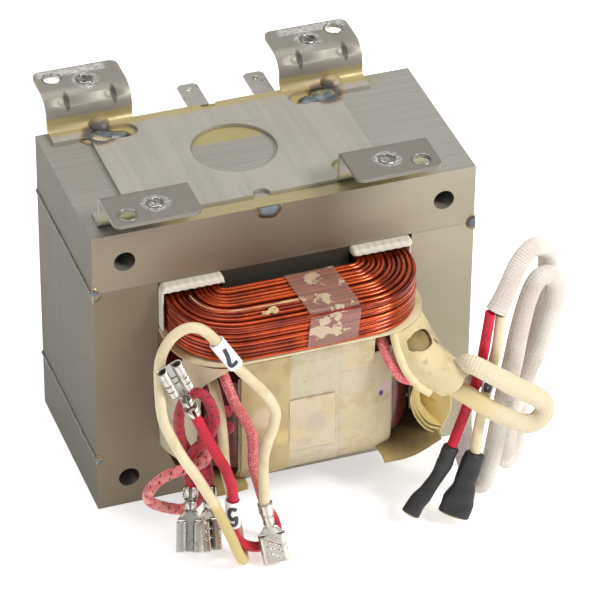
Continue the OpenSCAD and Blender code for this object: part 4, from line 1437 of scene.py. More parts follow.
@dataclass
class MountingPlate:
    """The bent plate with its weld puddles, burred screw holes, gussets and blade terminals."""

    tin: TinPlate = TinPlate()
    puddle: PuddleSteel = PuddleSteel()
    slot_x: float = 30.0
    slot_y: float = 18.5
    weld_x: float = 34.2
    screw_x: float = 34.0
    screw_y: float = 33.25
    burr_r: float = 2.2
    mount_x: float = 43.0
    mount_y: float = 36.5
    rim_r: float = 2.75
    tab_x: float = 35.25
    bend_y: float = 22.8
    dent_x: float = 7.0
    crease_y: float = 26.6
    crease_z: float = 9.2

    def __post_init__(self) -> None:
        """Takes the plate's place from the frame, and its finish from the places of its marks."""
        low, high = node_box("mounting_plate")
        self.x, self.y = (float(v) for v in (low + high)[:2] / 2)
        self.seat, self.top = float(low[2]), float(high[2])
        crease = self.y + self.crease_y, self.seat + self.crease_z
        tabs = [self.x + side * self.tab_x for side in SIDES]
        self.steel = PlateSteel(
            slots=tuple((*self.corner(self.weld_x, self.slot_y, *way), self.seat + 1) for way in CORNERS),
            crease_shadows=tuple((tab + s * self.dent_x + 0.8, *crease) for tab in tabs for s in SIDES),
            scuffs=tuple((self.x + s * (self.tab_x + 1.5), float(high[1]) - 2.2, self.top) for s in SIDES),
            burrs=tuple((*self.corner(self.screw_x, self.screw_y, *way), self.top) for way in CORNERS),
            seat=self.seat, bend_y=self.y + self.bend_y)

    def corner(self, x: float, y: float, sx: int, sy: int) -> tuple[float, float]:
        """Gives a place near one corner, from its distances to the plate's middle."""
        return self.x + sx * x, self.y + sy * y

    def pools(self) -> list[Triple]:
        """Finds the varnish pools that show through the plate.

        Returns:
            The middle and the reach of each.
        """
        found = [(self.x + sx * (self.slot_x + step), self.y + sy * self.slot_y, 3.4)
                 for sx, sy in CORNERS for step in (-3.5, 0, 3.5)]
        return found + [(self.x + step, self.y + 9.5, 4.6) for step in (-6, -1, 4, 8)]

    def dress(self) -> None:
        """Gives the plate and the blades their finishes."""
        soften(settle(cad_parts["mounting_plate"], self.steel), 0.2)
        for side in SIDES:
            soften(settle(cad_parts[f"blade_{hand(side)}"], self.tin), 0.12)

    def puddles(self) -> None:
        """Makes two weld puddles in each slot, the first of all for their node."""
        rng = np.random.default_rng(SEED + 5)
        stood = ["plate_welds"]
        for sx, sy in CORNERS:
            x, y = self.corner(self.weld_x, self.slot_y, sx, sy)
            z = self.seat + 0.1
            name = f"weld_puddle_{hand(sx)}_{end_word(sy)}"
            settle(dome(name, Matrix.Translation((x, y, z)), (5.6, 3.7), 1.2, rng), self.puddle, *stood)
            beside = Matrix.Translation((x - sx * 4.6, y - 1.0, z))
            settle(dome(f"{name}_second", beside, (4.4, 2.6), 0.95, rng), self.puddle)
            stood = []

    def gussets(self) -> None:
        """Makes the bulge pressed into the base bend of each tab on the far side."""
        rng = np.random.default_rng(SEED + 6)
        for side in SIDES:
            middle = Matrix.Translation((self.x + side * self.tab_x + 2.5, self.y + 23.6, self.seat + 1.0))
            settle(dome(f"gusset_{hand(side)}", middle, (3.2, 3.4), 2.5, rng), self.steel)

    def rings(self) -> None:
        """Makes the rough rims of the screw holes and the varnish rims of the plain holes."""
        rng = np.random.default_rng(SEED + 1)
        steel = TinPlate("plate_steel", "burr_steel", "#b0aca6", "#787068")
        turn = np.linspace(0, TURN, 56, endpoint=False)
        for way in CORNERS:
            for name, place, r, thick, rough in (
                    ("screw_burr", (self.screw_x, self.screw_y), self.burr_r, 0.42, 0.3),
                    ("hole_rim", (self.mount_x, self.mount_y), self.rim_r, 0.2, 0.08)):
                x, y = self.corner(*place, *way)
                reach = r + wobble(turn, rng, rough, 9)
                height = self.top + 0.02 + wobble(turn, rng, rough * 0.8, 9)
                path = np.column_stack([x + reach * np.cos(turn), y + reach * np.sin(turn), height])
                rim = Tube(f"{name}_{hand(way[0])}_{end_word(way[1])}", path, thick, 8, closed=True)
                settle(rim.build(), steel)

    def build(self) -> None:
        """Makes and dresses everything on the plate."""
        self.dress()
        self.puddles()
        self.gussets()
        self.rings()


@dataclass
class PrimaryWinding:
    """Layers of enamelled wire with clear film over them, between folded liners in the windows."""

    enamel: WireEnamel = WireEnamel()
    pitch: float = 1.36
    wire_d: float = 1.26
    end_pitch: float = 1.62
    belly: float = 1.3
    inner_r: float = 1.5
    layers: int = 12
    sides: int = 10
    liner_t: float = 0.6
    liner_fold: float = 1.6
    liner_tuck: float = 2.7

    def __post_init__(self) -> None:
        """Takes the coil's place from the frame."""
        low, high = node_box("primary_coil")
        self.bottom, self.top = float(low[2]), float(high[2])
        self.rows = round((self.top - self.bottom) / self.pitch)
        self.in_x = float(high[0]) - self.layers * self.pitch
        self.in_y = float(high[1]) - self.layers * self.end_pitch

    def loop(self, layer: float, z: float, rng: Random | None = None) -> Points:
        """Draws one turn round the centre leg.

        Args:
            layer: Place of the turn, counted outwards from the inside.
            z: Height of the turn.
            rng: Source of its unevenness, if it has any.

        Returns:
            Points along the closed turn.
        """
        step = (layer + 0.5) * self.pitch
        hx, hy = self.in_x + step, self.in_y + (layer + 0.5) * self.end_pitch
        x, y = rounded_loop(hx, hy, self.inner_r + step).T
        free = np.clip((np.abs(y) - 27) / 8, 0, 1)
        swell = self.belly * (layer + 0.5) / self.layers * np.clip(1 - (x / hx) ** 2, 0, 1) * free
        y = y + np.sign(y) * swell
        height = np.full(len(x), z)
        if rng:
            turn = np.linspace(0, TURN, len(x), endpoint=False)
            push = 1 + wobble(turn, rng, 0.11, 8) * free / np.hypot(x, y)
            x, y = x * push, y * push
            height = height + wobble(turn, rng, 0.09, 8) * free
        return np.column_stack([x, y, height])

    def wires(self) -> Piece:
        """Makes every turn that shows.

        Returns:
            The turns as one mesh of closed tubes.
        """
        rng = np.random.default_rng(SEED + 2)
        outer, upper = self.layers - 1, self.rows - 1
        seen = [(outer, i) for i in range(self.rows)] + [(outer - 1, upper - 1)]
        seen += [(j, upper) for j in range(outer)] + [(0, i) for i in range(upper)]
        points, faces, tints = [], [], []
        for layer, row in seen:
            z = self.bottom + (row + 0.5) * self.pitch + 0.1 * math.sin(layer * 1.7)
            if row == upper:
                z -= 0.55 * max(0, layer - self.layers + 3) ** 2 / 4
            course = self.loop(layer + 0.08 * rng.normal(), z, rng)
            rings = Tube("turn", course, self.wire_d / 2, self.sides, closed=True).offsets()[0]
            base = sum(len(p) for p in points)
            points.append(rings.reshape(-1, 3))
            faces += [[base + k for k in f] for f in grid_faces(len(rings), self.sides, True, True)]
            tints.append(np.full(len(rings) * self.sides, rng.uniform()))
        made = mesh_piece("primary_wires", np.vstack(points), faces)
        give_values(made, "turn", np.concatenate(tints))
        return turn_outward(made)

    def packing(self) -> Piece:
        """Makes the body of inner turns behind the ones that show, painted dark as the shade in the gaps
        between them.

        Returns:
            The body as one closed ring.
        """
        low, high, outer = self.bottom + 0.3, self.top - 1.05, self.layers - 1.2
        corners = (0.2, low), (outer, low), (outer, high - 0.6), (0.2, high)
        rings = [self.loop(*corner) for corner in corners]
        faces = grid_faces(len(rings), len(rings[0]), True, True)
        return turn_outward(mesh_piece("primary_packing", np.vstack(rings), faces, 40))

    def ribbon(self) -> Piece:
        """Makes the strip of paper that shows between two layers on the left.

        Returns:
            The strip.
        """
        rows = []
        for layer, lift in ((5.9, -0.75), (6.45, -0.28), (7.0, -0.6)):
            ring = self.loop(layer, self.top + lift)
            kept = ring[(ring[:, 1] < -30) & (ring[:, 0] < 4)]
            rows.append(kept[np.linspace(0, len(kept) - 1, 14).round().astype(int)])
        return Sheet("layer_paper", rows, 0.2, 7, 90, 0.1, 0.05, seed=21).build()

    def crumb(self) -> Piece:
        """Makes the curled scrap of varnished paper on the top turns.

        Returns:
            The scrap.
        """
        bends = [(-13.6, -46.6, 0.3), (-12.4, -47.3, 0.5), (-11, -46.7, 0.9), (-9.9, -45.8, 0.7),
                 (-9.3, -46.8, 0.4), (-10.4, -47.5, 0.6), (-11.6, -46.2, 0.8)]
        path = smooth_route([(x, y, self.top + z) for x, y, z in bends], 0.35)
        return Tube("varnish_crumb", path, 0.42, 10, wide=1.4, thin=0.5).build()

    def film(self) -> Piece:
        """Makes the clear film over the top and the front of the coil.

        Returns:
            The film.
        """
        low, high = node_box("primary_tape")
        inner, top = -self.in_y, self.top + 0.12
        front = inner - self.layers * self.end_pitch - self.belly - 0.2
        course = [(inner - 0.6, top, 0.0), (inner - 6, top + 0.15, 0.2), (inner - 12, top + 0.1, 0.6),
                  (front + 3.2, top - 0.1, 1.0), (front + 1.0, top - 0.9, 1.2),
                  (front - 0.05, top - 2.4, 1.0), (front - 0.1, top - 6, 0.6),
                  (front + 0.1, self.bottom + 1.0, 0.2)]
        wide = (high[0] - low[0]) / 6
        rows = [[(low[0] + shift + wide * k, y + 0.12 * abs(k - 2.5), z) for k in range(7)]
                for y, z, shift in course]
        return Sheet("primary_film", rows, 0.06, 70, 40, 0.08, 0.015, seed=22).build()

    def cap(self, side: int) -> Piece:
        """Folds one liner: an outer wall, a ridged top that stands out, and a short inner wall.

        Args:
            side: 1 on the right, -1 on the left.

        Returns:
            The folded sheet.
        """
        low, high = node_box(f"primary_liner_{hand(side)}")
        inner, outer = sorted((abs(float(low[0])), abs(float(high[0]))))
        top, foot, out = float(high[2]) - 0.35, self.bottom + 0.8, float(high[1])
        fold, wall = self.liner_fold, outer - self.liner_t / 2
        line = [(wall, z) for z in np.linspace(foot, top - fold, 8)[:-1]]
        line += [(wall - fold + fold * math.cos(a), top - fold + fold * math.sin(a))
                 for a in np.radians(np.linspace(0, 90, 7))]
        line += [(x, top) for x in np.linspace(wall - fold, inner + 0.9, 12)[1:]]
        line += [(inner + 0.4, top - 0.3), (inner + 0.3, top - 1.6)]
        profile = smooth_route([(side * x, 0, z) for x, z in line], 0.3)
        depth = np.concatenate([np.linspace(-out, 1.2 - out, 12), np.linspace(2 - out, out - 2, 36),
                                np.linspace(out - 1.2, out, 12)])
        tucked = (side > 0) * self.liner_tuck
        edge = np.clip((np.abs(depth) - 26.5) / 1.5, 0, 1)
        rolled = np.clip((np.abs(depth) - out + 0.8) / 0.8, 0, 1) ** 2
        rows = []
        for x, _, z in profile:
            upper = np.clip((z - top + fold) / fold, 0, 1)
            reach = depth * (1 - tucked * (1 - upper) / out)
            ridge = 0.11 * edge * upper * math.sin(abs(x) * TURN / 2.4)
            rows.append(np.column_stack([np.full(len(depth), x), reach, z + ridge - 1.3 * upper * rolled]))
        faces = grid_faces(len(rows), len(depth))
        return thicken(mesh_piece(f"liner_cap_{hand(side)}", np.vstack(rows), faces), self.liner_t)

    def build(self) -> None:
        """Makes the wires, the packing behind them, the film and the liners."""
        settle(self.wires(), self.enamel, "primary_coil")
        # The packing's dark colour is painted shade in the gaps between the turns.
        settle(self.packing(), PlainPlastic("copper_enamel", "gap_shade_dark", "#562012", "#3c1410", 0.25))
        settle(self.film(), ClearTape(), "primary_tape")
        buff = Paper(PaperKind.SCRAP, "#c4a47c", "#a47652", 0.3)
        settle(self.ribbon(), buff)
        settle(self.crumb(), buff)
        white = Paper(PaperKind.LINER, "#d6d0c2", "#c4b698", 0.12)
        for side in SIDES:
            settle(self.cap(side), white, f"primary_liner_{hand(side)}")


# Papers of the secondary, as rows of points in millimetres; those of the cone and of the left flap start
# from the divider's corners
CONE = [[[-13.3, 2, 0], [-9.8, 2.7, 0], [-5.8, 5, 0], [-2.3, 9, 0]],
        [[-12.6, -1.5, -4], [-8.3, -2.4, -2.7], [-3.6, 0.6, -3], [-0.4, 5.5, -4]],
        [[-10.8, -4, -9.4], [-6.6, -6.4, -6.6], [-1.6, -4.5, -5.4], [1.6, 0.5, -7.2]],
        [[-7.8, -6.5, -13.4], [-3.3, -9.8, -9.4], [0.6, -9, -7], [2.8, -4.5, -7.6]],
        [[-2.4, -10.2, -16.4], [1.2, -12.8, -12.8], [3.6, -12, -9.2], [5, -8, -9.8]]]
CONE_ROLL = [[-13, 2.2, -0.8], [-12.9, -1.4, -4.4], [-11.4, -3.8, -9.4], [-8.8, -6.2, -13.4],
             [-5.4, -8.6, -15.8]]
LEFT_FLAP = [[[2.5, 10, 0], [6, 4.5, 0], [10.5, 1.4, 0], [14, 0.5, 0]],
             [[2.3, 9.6, -3.6], [5, 3.4, -3.6], [8.6, 0.8, -1.8], [12.6, 0.3, -0.5]],
             [[2.2, 9.4, -7.2], [4.2, 3.2, -7.2], [7, 1.2, -3.8], [11.4, 0.3, -1]]]
POUCH_INNER = [[(36.4, -42, 41.5), (36.8, -38.5, 42), (37.2, -33, 42), (37.4, -28, 42)],
               [(34.6, -42, 33.2), (36.2, -38.5, 34), (37, -33, 35), (37.4, -28, 36)],
               [(33.5, -42, 28.2), (35.9, -38.5, 29), (37, -33, 29.5), (37.4, -28, 30)],
               [(34.6, -42.3, 22.3), (36.6, -39, 21.8), (37.3, -33, 22), (37.5, -28, 23)],
               [(38, -43, 17), (38.8, -39.3, 17.3), (38.5, -34, 18.5), (37.6, -29, 19.6)],
               [(42.3, -43, 14.6), (41, -39.6, 15.2), (39.3, -35, 17), (37.6, -29, 19.4)]]
POUCH_OUTER = [[(37.5, -28, 42), (41, -33, 41.5), (44, -37, 40), (46, -39.5, 38)],
               [(37.5, -28, 36), (41, -33, 34), (44.5, -37.5, 31), (46.5, -40.5, 28)],
               [(37.5, -28, 28), (41, -34, 26), (44.5, -38.5, 23.5), (46.3, -41.3, 21.5)],
               [(37.5, -28, 21), (40.5, -34.5, 19), (43.3, -39, 17.5), (44.3, -41.5, 16.5)],
               [(37.5, -29, 19.6), (39.5, -35, 17), (41.5, -39.5, 15.3), (42.6, -42.5, 14.3)]]
SKIRT_RIGHT = [[(20, -27.6, 19.4), (28, -27.6, 19.4), (37, -27.6, 19.4)],
               [(20.5, -40, 17.8), (29, -40, 17.3), (39, -38.5, 17.6)],
               [(22.5, -47.5, 15), (31, -46.5, 14.6), (42, -43, 15)],
               [(23.2, -49, 12.7), (32, -48, 12.2), (42.6, -44, 13)]]
SKIRT_LEFT = [[(-37, -27.6, 19.4), (-28, -27.6, 19.4), (-20, -27.6, 19.4)],
              [(-36, -39, 17.6), (-27, -40, 17.2), (-19.5, -40, 17.5)],
              [(-31.5, -46, 15.2), (-25, -46.3, 14.5), (-18, -46.3, 14.2)],
              [(-30, -47.7, 12.6), (-24.5, -47.8, 12.3), (-18.3, -47.6, 12.6)]]
FILM_SCRAP = [[(-16.6, -48.7, 34), (-14.8, -49.1, 31.5), (-12.8, -49, 30)],
              [(-17.2, -48.8, 26), (-15.2, -49.2, 25), (-13.4, -49, 24)],
              [(-18.3, -48.7, 20), (-16, -49.2, 19.6), (-14.6, -49, 19.4)]]


@dataclass
class SecondaryWinding:
    """Fine-wire coil under layers of paper, with its divider, shunts, liners and flaps."""

    wire: FineWire = FineWire()
    wire_pitch: float = 0.44
    ridge: float = 0.13
    corner_r: float = 4.0
    depth: float = 16.4
    loop_points: int = 150
    wall: float = 0.45
    divider_t: float = 0.7
    leg_x: float = 19.4
    leg_y: float = 28.0

    def __post_init__(self) -> None:
        """Takes the coil's place from the frame."""
        low, high = node_box("secondary_coil")
        self.bottom, self.top = float(low[2]), float(high[2])
        self.out_x, self.out_y = float(high[0]), float(high[1])
        self.out_r = self.corner_r + self.depth

    def coil(self) -> Piece:
        """Makes the coil with a ridge for each turn on its outside.

        Returns:
            The coil as one closed ring.
        """
        last = 2 * round((self.top - self.bottom) / self.wire_pitch)
        levels = np.linspace(self.bottom, self.top, last + 1)
        line = [(self.depth - self.ridge * (k % 2 == 0) - 0.8 * (k in (0, last)), z)
                for k, z in enumerate(levels)]
        rings = []
        for reach, z in line + [(0.0, self.top), (0.0, self.bottom)]:
            less = self.depth - reach
            flat = rounded_loop(self.out_x - less, self.out_y - less, self.out_r - less, self.loop_points)
            rings.append(np.column_stack([flat, np.full(len(flat), z)]))
        faces = grid_faces(len(rings), self.loop_points, True, True)
        return turn_outward(mesh_piece("secondary_turns", np.vstack(rings), faces, 80))

    def front(self, x: Points, lift: float) -> Points:
        """Gives the coil's front outline.

        Args:
            x: Sideways places.
            lift: Distance in front of the coil.

        Returns:
            How far out the paper lies at each place.
        """
        r = self.out_r + lift
        over = np.clip(np.abs(x) - self.out_x + self.out_r, 0, 0.98 * r)
        return self.out_r - self.out_y - np.sqrt(r**2 - over**2)

    def wrap(self, name: str, spans: tuple[float, float, float, float], lift: float, wrinkle: float,
             flip: int = 1) -> Piece:
        """Lays one piece of paper on the front or the back of the coil.

        Args:
            name: Name of the piece.
            spans: Left end, right end, upper end and lower end.
            lift: Distance from the coil.
            wrinkle: Size of its wrinkles.
            flip: 1 on the front, -1 on the back.

        Returns:
            The paper.
        """
        left, right, high, low = spans
        x = np.linspace(left, right, 13)
        rows = []
        for z in np.linspace(high, low, 11):
            belly = 0.7 * math.sin(math.pi * np.clip((z - 16) / 35, 0, 1))
            lean = 2.6 * np.clip((20.5 - z) / 5, 0, 1) ** 2 - 0.14 * max(0.0, z - 47.5)
            y = flip * (self.front(x, lift + belly) + lean)
            rows.append(np.column_stack([x, y, np.full(len(x), z)]))
        return Sheet(name, rows, 0.25, 64, 64, wrinkle, 0.006, seed=sum(map(ord, name))).build()

    def wraps(self) -> None:
        """Makes the papers on the front and the back of the coil."""
        main = Paper(PaperKind.WRAP, "#c0b392", "#ac9a6e", 0.4, 0.6, (
            Spot((23.4, -46.6, 38.6), 3.2, "#c49ec4", 0.5), Spot((22, -46.9, 37.2), 1.3, "#3c2268", 0.95),
            Spot((14, -48, 44), 7.0, "#bab49e", 0.5), Spot((12, -48, 30), 6.0, "#beb28e", 0.5)))
        settle(self.wrap("paper_front", (-21, 26, 52.5, 15.9), 0.5, 0.14), main, "secondary_tape_front")
        settle(self.wrap("paper_collar", (8, 19.4, 58.9, 48), 0.7, 0.14), main)
        back = Paper(PaperKind.BACK, "#d4c6a4", "#bca876", 0.4, 0.4)
        settle(self.wrap("paper_back", (-22, 23, 51.4, 15.9), 0.5, 0.16, -1), back, "secondary_tape_back")
        grey = Paper(PaperKind.GREY, "#bcb49c", "#ac9e7a", 0.4, 0.5)
        settle(self.wrap("paper_middle", (-8, 9, 58.8, 17), 0.85, 0.12), grey)
        amber = Paper(PaperKind.AMBER, "#b4a276", "#ae9864", 0.45, 0.2, (
            Spot((-8, -48.4, 30), 3.4, "#d2be7e", 0.6), Spot((-14, -48.4, 38), 5.0, "#d6c2a8", 0.6),
            Spot((-17.5, -47.5, 19), 2.6, "#96846c", 0.7)))
        settle(self.wrap("paper_left", (-20.4, -6, 58.8, 16.4), 1.3, 0.16), amber)
        patch = Paper(PaperKind.PATCH, "#c4b89b", "#c0ae80", 0.35, 0.5, (
            Spot((1.8, -49.6, 33), 4.6, "#aca296", 0.6), Spot((-3.5, -49.6, 30), 2.6, "#d6c284", 0.5),
            Spot((0, -49.6, 42), 1.6, "#a8925c", 0.6), Spot((5, -49.6, 43), 1.6, "#a8925c", 0.6)))
        settle(self.wrap("paper_patch", (-6.2, 7.6, 42, 24), 1.35, 0.1), patch)
        scrap = Sheet("film_scrap", FILM_SCRAP, 0.06, 30, 20, 0.1, 0.03, seed=31)
        settle(scrap.build(), ClearTape(name="clear_scrap", paste=0.62))

    def divider(self) -> Piece:
        """Makes the wavy paper ring under the primary.

        Returns:
            The ring.
        """
        low, high = node_box("coil_divider")
        rng = np.random.default_rng(SEED + 9)
        z = float(low[2] + high[2]) / 2
        turn = np.linspace(0, TURN, self.loop_points, endpoint=False)
        edge = wobble(turn, rng, 0.5, 14)
        wide, deep = float(high[0]) - self.leg_x, float(high[1]) - self.leg_y - 0.9
        shares = np.linspace(0, 1, 9)
        rings = []
        for share in shares:
            sizes = self.leg_x + share * wide, self.leg_y + share * deep, 1.0 + 15.4 * share
            flat = rounded_loop(*sizes, self.loop_points)
            sag = share**3 * (wobble(turn, rng, 0.15, 5) + 0.25 * np.sin(3 * turn))
            out = 1 + (share == 1.0) * edge / np.hypot(flat[:, 0], flat[:, 1])
            rings.append(np.column_stack([flat * out[:, None], z + sag]))
        faces = grid_faces(len(shares), self.loop_points, wrap_columns=True)
        return thicken(mesh_piece("divider_paper", np.vstack(rings), faces), self.divider_t)

    def flaps(self) -> None:
        """Makes the divider and its folded corners."""
        low, high = node_box("coil_divider")
        right = np.array([high[0], low[1], low[2] - 0.1])
        left = np.array([low[0], low[1], low[2] - 0.1])
        # The brown spot at the divider's left end is partly a varnish stain and partly painted shade.
        rim = Paper(PaperKind.RIM, "#d6c8a2", "#c2ae80", 0.3,
                    spots=(Spot((-37, -38, 60), 9.0, "#967042", 0.85),))
        settle(self.divider(), rim, "coil_divider")
        rows = right + np.array(CONE)
        # A backing sheet seen through the hole, painted dark as the shade inside the cone.
        behind = Sheet("cone_cavity_shade", rows[:3] + (-0.3, 2.2, -0.8), 0.3, 30, 30, 0.2, seed=43)
        settle(behind.build(), Paper(PaperKind.INSIDE, "#968454", "#705e36", 0.5))
        curl = smooth_route(right + np.array(CONE_ROLL), 0.5)
        edge = Tube("cone_roll", curl, 1.25, 18, thin=0.8, open_end=True)
        settle(edge.build(), Paper(PaperKind.ROLL, "#ded0a6", "#c8b480", 0.3))
        cone = Paper(PaperKind.CONE, "#d6c79c", "#c2ac78", 0.3, spots=(
            Spot(tuple(right + (-9, -1.5, -4)), 5.4, "#c4b07c", 0.6),
            Spot(tuple(right + (-1.2, 0.2, -5)), 1.5, "#605032", 0.85),
            Spot(tuple(right + (-6.4, -5.6, -6.8)), 1.6, "#8c683c", 0.7)))
        folded = Sheet("divider_cone", rows, self.wall, 56, 56, 0.16, 0.02, (0.23, 0.5, 0.125, 0.33), 41)
        settle(folded.build(), cone, "divider_flap_right")
        folded = Sheet("divider_fold", left + np.array(LEFT_FLAP), self.wall, 40, 40, 0.08, 0.01, seed=42)
        beige = Paper(PaperKind.BEIGE, "#beac8e", "#ac9670", 0.3)
        settle(folded.build(), beige, "divider_flap_left")

    def side_paper(self, side: int, way: int) -> Piece:
        """Curls one liner: its wall in the window and its end round the coil's corner.

        Args:
            side: 1 on the right, -1 on the left.
            way: 1 where its end curls at the back, -1 at the front.

        Returns:
            The paper.
        """
        r = self.out_r + 1.3
        cx, cy = self.out_x - self.out_r, self.out_y - self.out_r
        reach = 50.0 if side < 0 or way > 0 else 24.0
        course = [(cx + r, y) for y in np.linspace(0, cy, 5)[:-1]]
        turns = np.radians(np.linspace(2, reach, 8))
        course += [(cx + r * math.cos(a), cy + r * math.sin(a)) for a in turns]
        free = np.clip((np.arange(len(course)) - 4) / 4, 0, 1)
        rows = []
        for z in np.linspace(self.top - 1.5, 19.6, 8):
            sway = 0.6 * free * math.sin(z / 5)
            rows.append([(side * (x + dx), way * y, z) for (x, y), dx in zip(course, sway)])
        name = f"side_paper_{hand(side)}_{end_word(way)}"
        return Sheet(name, rows, self.wall, 40, 60, 0.1, 0.006, seed=51 + side + way).build()

    def liners(self) -> None:
        """Makes the liners' walls, floors and the loose layers on the right."""
        olive = Paper(PaperKind.OLIVE, "#c0b89c", "#a6986c", 0.4)
        for side in SIDES:
            settle(self.side_paper(side, -1), olive, f"secondary_liner_{hand(side)}")
            settle(self.side_paper(side, 1), olive)
        # Painted shade on the skirts under the coil.
        dark = [Spot((x, y, 18), 19.0, "#3a2a12", 0.93) for x in (-31, -22, 22, 33) for y in (-31, 31)]
        floor = Paper(PaperKind.FLOOR, "#a8945c", "#8c7642", 0.5, spots=tuple(dark))
        for side, rows in zip(SIDES, (SKIRT_LEFT, SKIRT_RIGHT)):
            for way in SIDES:
                shape = np.array(rows, float) * (1, -way, 1)
                name = f"skirt_{hand(side)}_{end_word(way)}"
                skirt = Sheet(name, shape, self.wall, 40, 40, 0.12, 0.02, seed=60 - way)
                settle(skirt.build(), floor)
        cream = Paper(PaperKind.POUCH, "#e8d696", "#ceb468", 0.35)
        stood = ["liner_flap_right"]
        for k, shift in enumerate(((0, 0, 0), (0.75, 0.5, 0.6), (1.5, 1.1, 1.3))):
            shape = np.array(POUCH_INNER) + shift
            layer = Sheet(f"pouch_layer_{k}", shape, 0.32, 46, 36, 0.12, 0.01, seed=70 + k)
            settle(layer.build(), cream, *stood)
            stood = []
        settle(Sheet("pouch_outer", POUCH_OUTER, 0.4, 40, 36, 0.14, 0.015, seed=75).build(), cream)

    def build(self) -> None:
        """Makes the coil, its papers, the shunts and the filament winding."""
        settle(self.coil(), self.wire, "secondary_coil")
        self.wraps()
        self.flaps()
        self.liners()
        brown = PlainPlastic("shunt_steel", "shunt_wrap", "#7a5c36", "#5c4224", 0.5)
        for side in SIDES:
            soften(settle(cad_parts[f"shunt_{hand(side)}"], brown), 0.15)
        red = Insulation("red_rubber", "filament_red", "#ba2838", "#961828")
        settle(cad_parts["filament_winding"], red)


@dataclass(frozen=True)
class Marker:
    """A plain white ring on a lead, with one digit."""

    node: str
    start: Triple
    end: Triple
    strokes: tuple[tuple[tuple[float, float], ...], ...]
    forward: bool = True


SEVEN = (((-0.8, 1.0), (0.8, 1.0), (0.1, 0.0), (-0.3, -1.0)),)
FIVE = (((0.8, 1.0), (-0.6, 1.0), (-0.7, 0.15), (0.1, 0.3), (0.75, -0.2), (0.5, -0.85), (-0.1, -1.0),
         (-0.75, -0.8)),)
EIGHT = tuple(tuple((r * math.sin(a), c + r * math.cos(a)) for a in np.linspace(0, TURN, 13))
              for c, r in ((0.48, 0.48), (-0.48, 0.55)))
MARKERS = (Marker("marker_left", (-31.2, -59.1, 76.0), (-26.1, -60.8, 67.9), SEVEN),
           Marker("marker_middle", (-28.5, -65.0, 15.5), (-28.5, -65.0, 24.5), FIVE, False),
           Marker("marker_right", (50.4, -60.3, 46.9), (49.6, -60.3, 42.1), EIGHT))


@dataclass
class Receptacle:
    """A push-on receptacle: two crimps, a neck and a socket with curled sides."""

    node: str
    at: Triple
    aim: Triple
    roll: float
    half: float = 3.7
    curl_r: float = 1.35
    curl_h: float = 1.15
    floor: float = -1.7
    length: float = 18.4
    thick: float = 0.36
    slits: tuple[float, ...] = (2.4, 4.9)
    scored: bool = False
    across: int = 61

    def section(self, z: float) -> tuple[str, Points]:
        """Draws the bent strip at one place along the receptacle.

        Args:
            z: Place along it.

        Returns:
            The kind of section and its line across.
        """
        share = np.linspace(-1, 1, self.across)
        bent = (("grip", 3.1, 2.0, 168, 0.0), ("neck", 4.0, 1.75, 75, 0.0), ("crimp", 6.6, 1.5, 172, -0.3))
        for kind, end, r, reach, drop in bent:
            if z <= end:
                turn = np.radians(270 + share * reach)
                return kind, np.column_stack([r * np.cos(turn), drop + r * np.sin(turn)])
        if z <= 9.4:
            wide = 1.5 + (self.half - 1.5) * (z - 6.6) / 2.8
            return "strip", np.column_stack([share * wide, self.floor + 0.5 * np.abs(share) ** 3])
        flat = self.half - self.curl_r
        turn = np.radians(270 + 275 * np.clip((np.abs(share) - 0.3) / 0.7, 0, 1))
        wide, high = (np.sign(f(turn)) * np.abs(f(turn)) ** 0.85 for f in (np.cos, np.sin))
        inner = np.abs(share) < 0.3
        x = np.where(inner, share / 0.3 * flat, np.sign(share) * (flat + self.curl_r * wide))
        y = np.where(inner, self.floor, self.floor + self.curl_h * (1 + high))
        return "socket", np.column_stack([x, y])

    def build(self) -> Piece:
        """Makes the receptacle, with slits in its curls and a window in its floor.

        Returns:
            The new object.
        """
        levels = [0, 0.4, 3.0, 3.2, 3.9, 4.1, 4.5, 6.5, 6.7, 7.4, 8.2, 9.0, 9.4, 9.8]
        levels += list(np.linspace(10.2, self.length, 30))
        drawn = [self.section(z) for z in levels]
        points = np.array([(x, y, z) for (_, line), z in zip(drawn, levels) for x, y in line])
        faces = []
        for face in grid_faces(len(levels), self.across):
            i, k = divmod(face[0], self.across)
            middle, off = (levels[i] + levels[i + 1]) / 2 - 10, k - 29.5
            slit = any(abs(middle - at) < 0.2 for at in self.slits)
            window = slit and abs(off) < 6
            if self.scored:
                window = abs(off) < 8 and any(abs(middle + 0.16 * off - at) < 0.17 for at in (2, 4, 6))
            torn = drawn[i][0] != drawn[i + 1][0] and abs(off) > 9
            if not (torn or window or slit and 13 < abs(off) < 24):
                faces.append(face)
        points = placed(points, aimed(self.at, self.aim, self.roll))
        return thicken(mesh_piece(self.node.replace("receptacle", "push_on"), points, faces, 50), self.thick)


RECEPTACLES = (Receptacle("receptacle_red", (-38.5, -61, 54.5), (-8.8, -3, 21.9), 345, length=20.5),
               Receptacle("receptacle_braid_a", (-38.5, -57.5, 26), (-4, -11, -16), 90, slits=()),
               Receptacle("receptacle_braid_b", (-30.5, -49.3, 18), (-2, -10, -16), 50),
               Receptacle("receptacle_cream", (-18.5, -63.5, 19.7), (2, -4.5, -17.5), 305, scored=True))


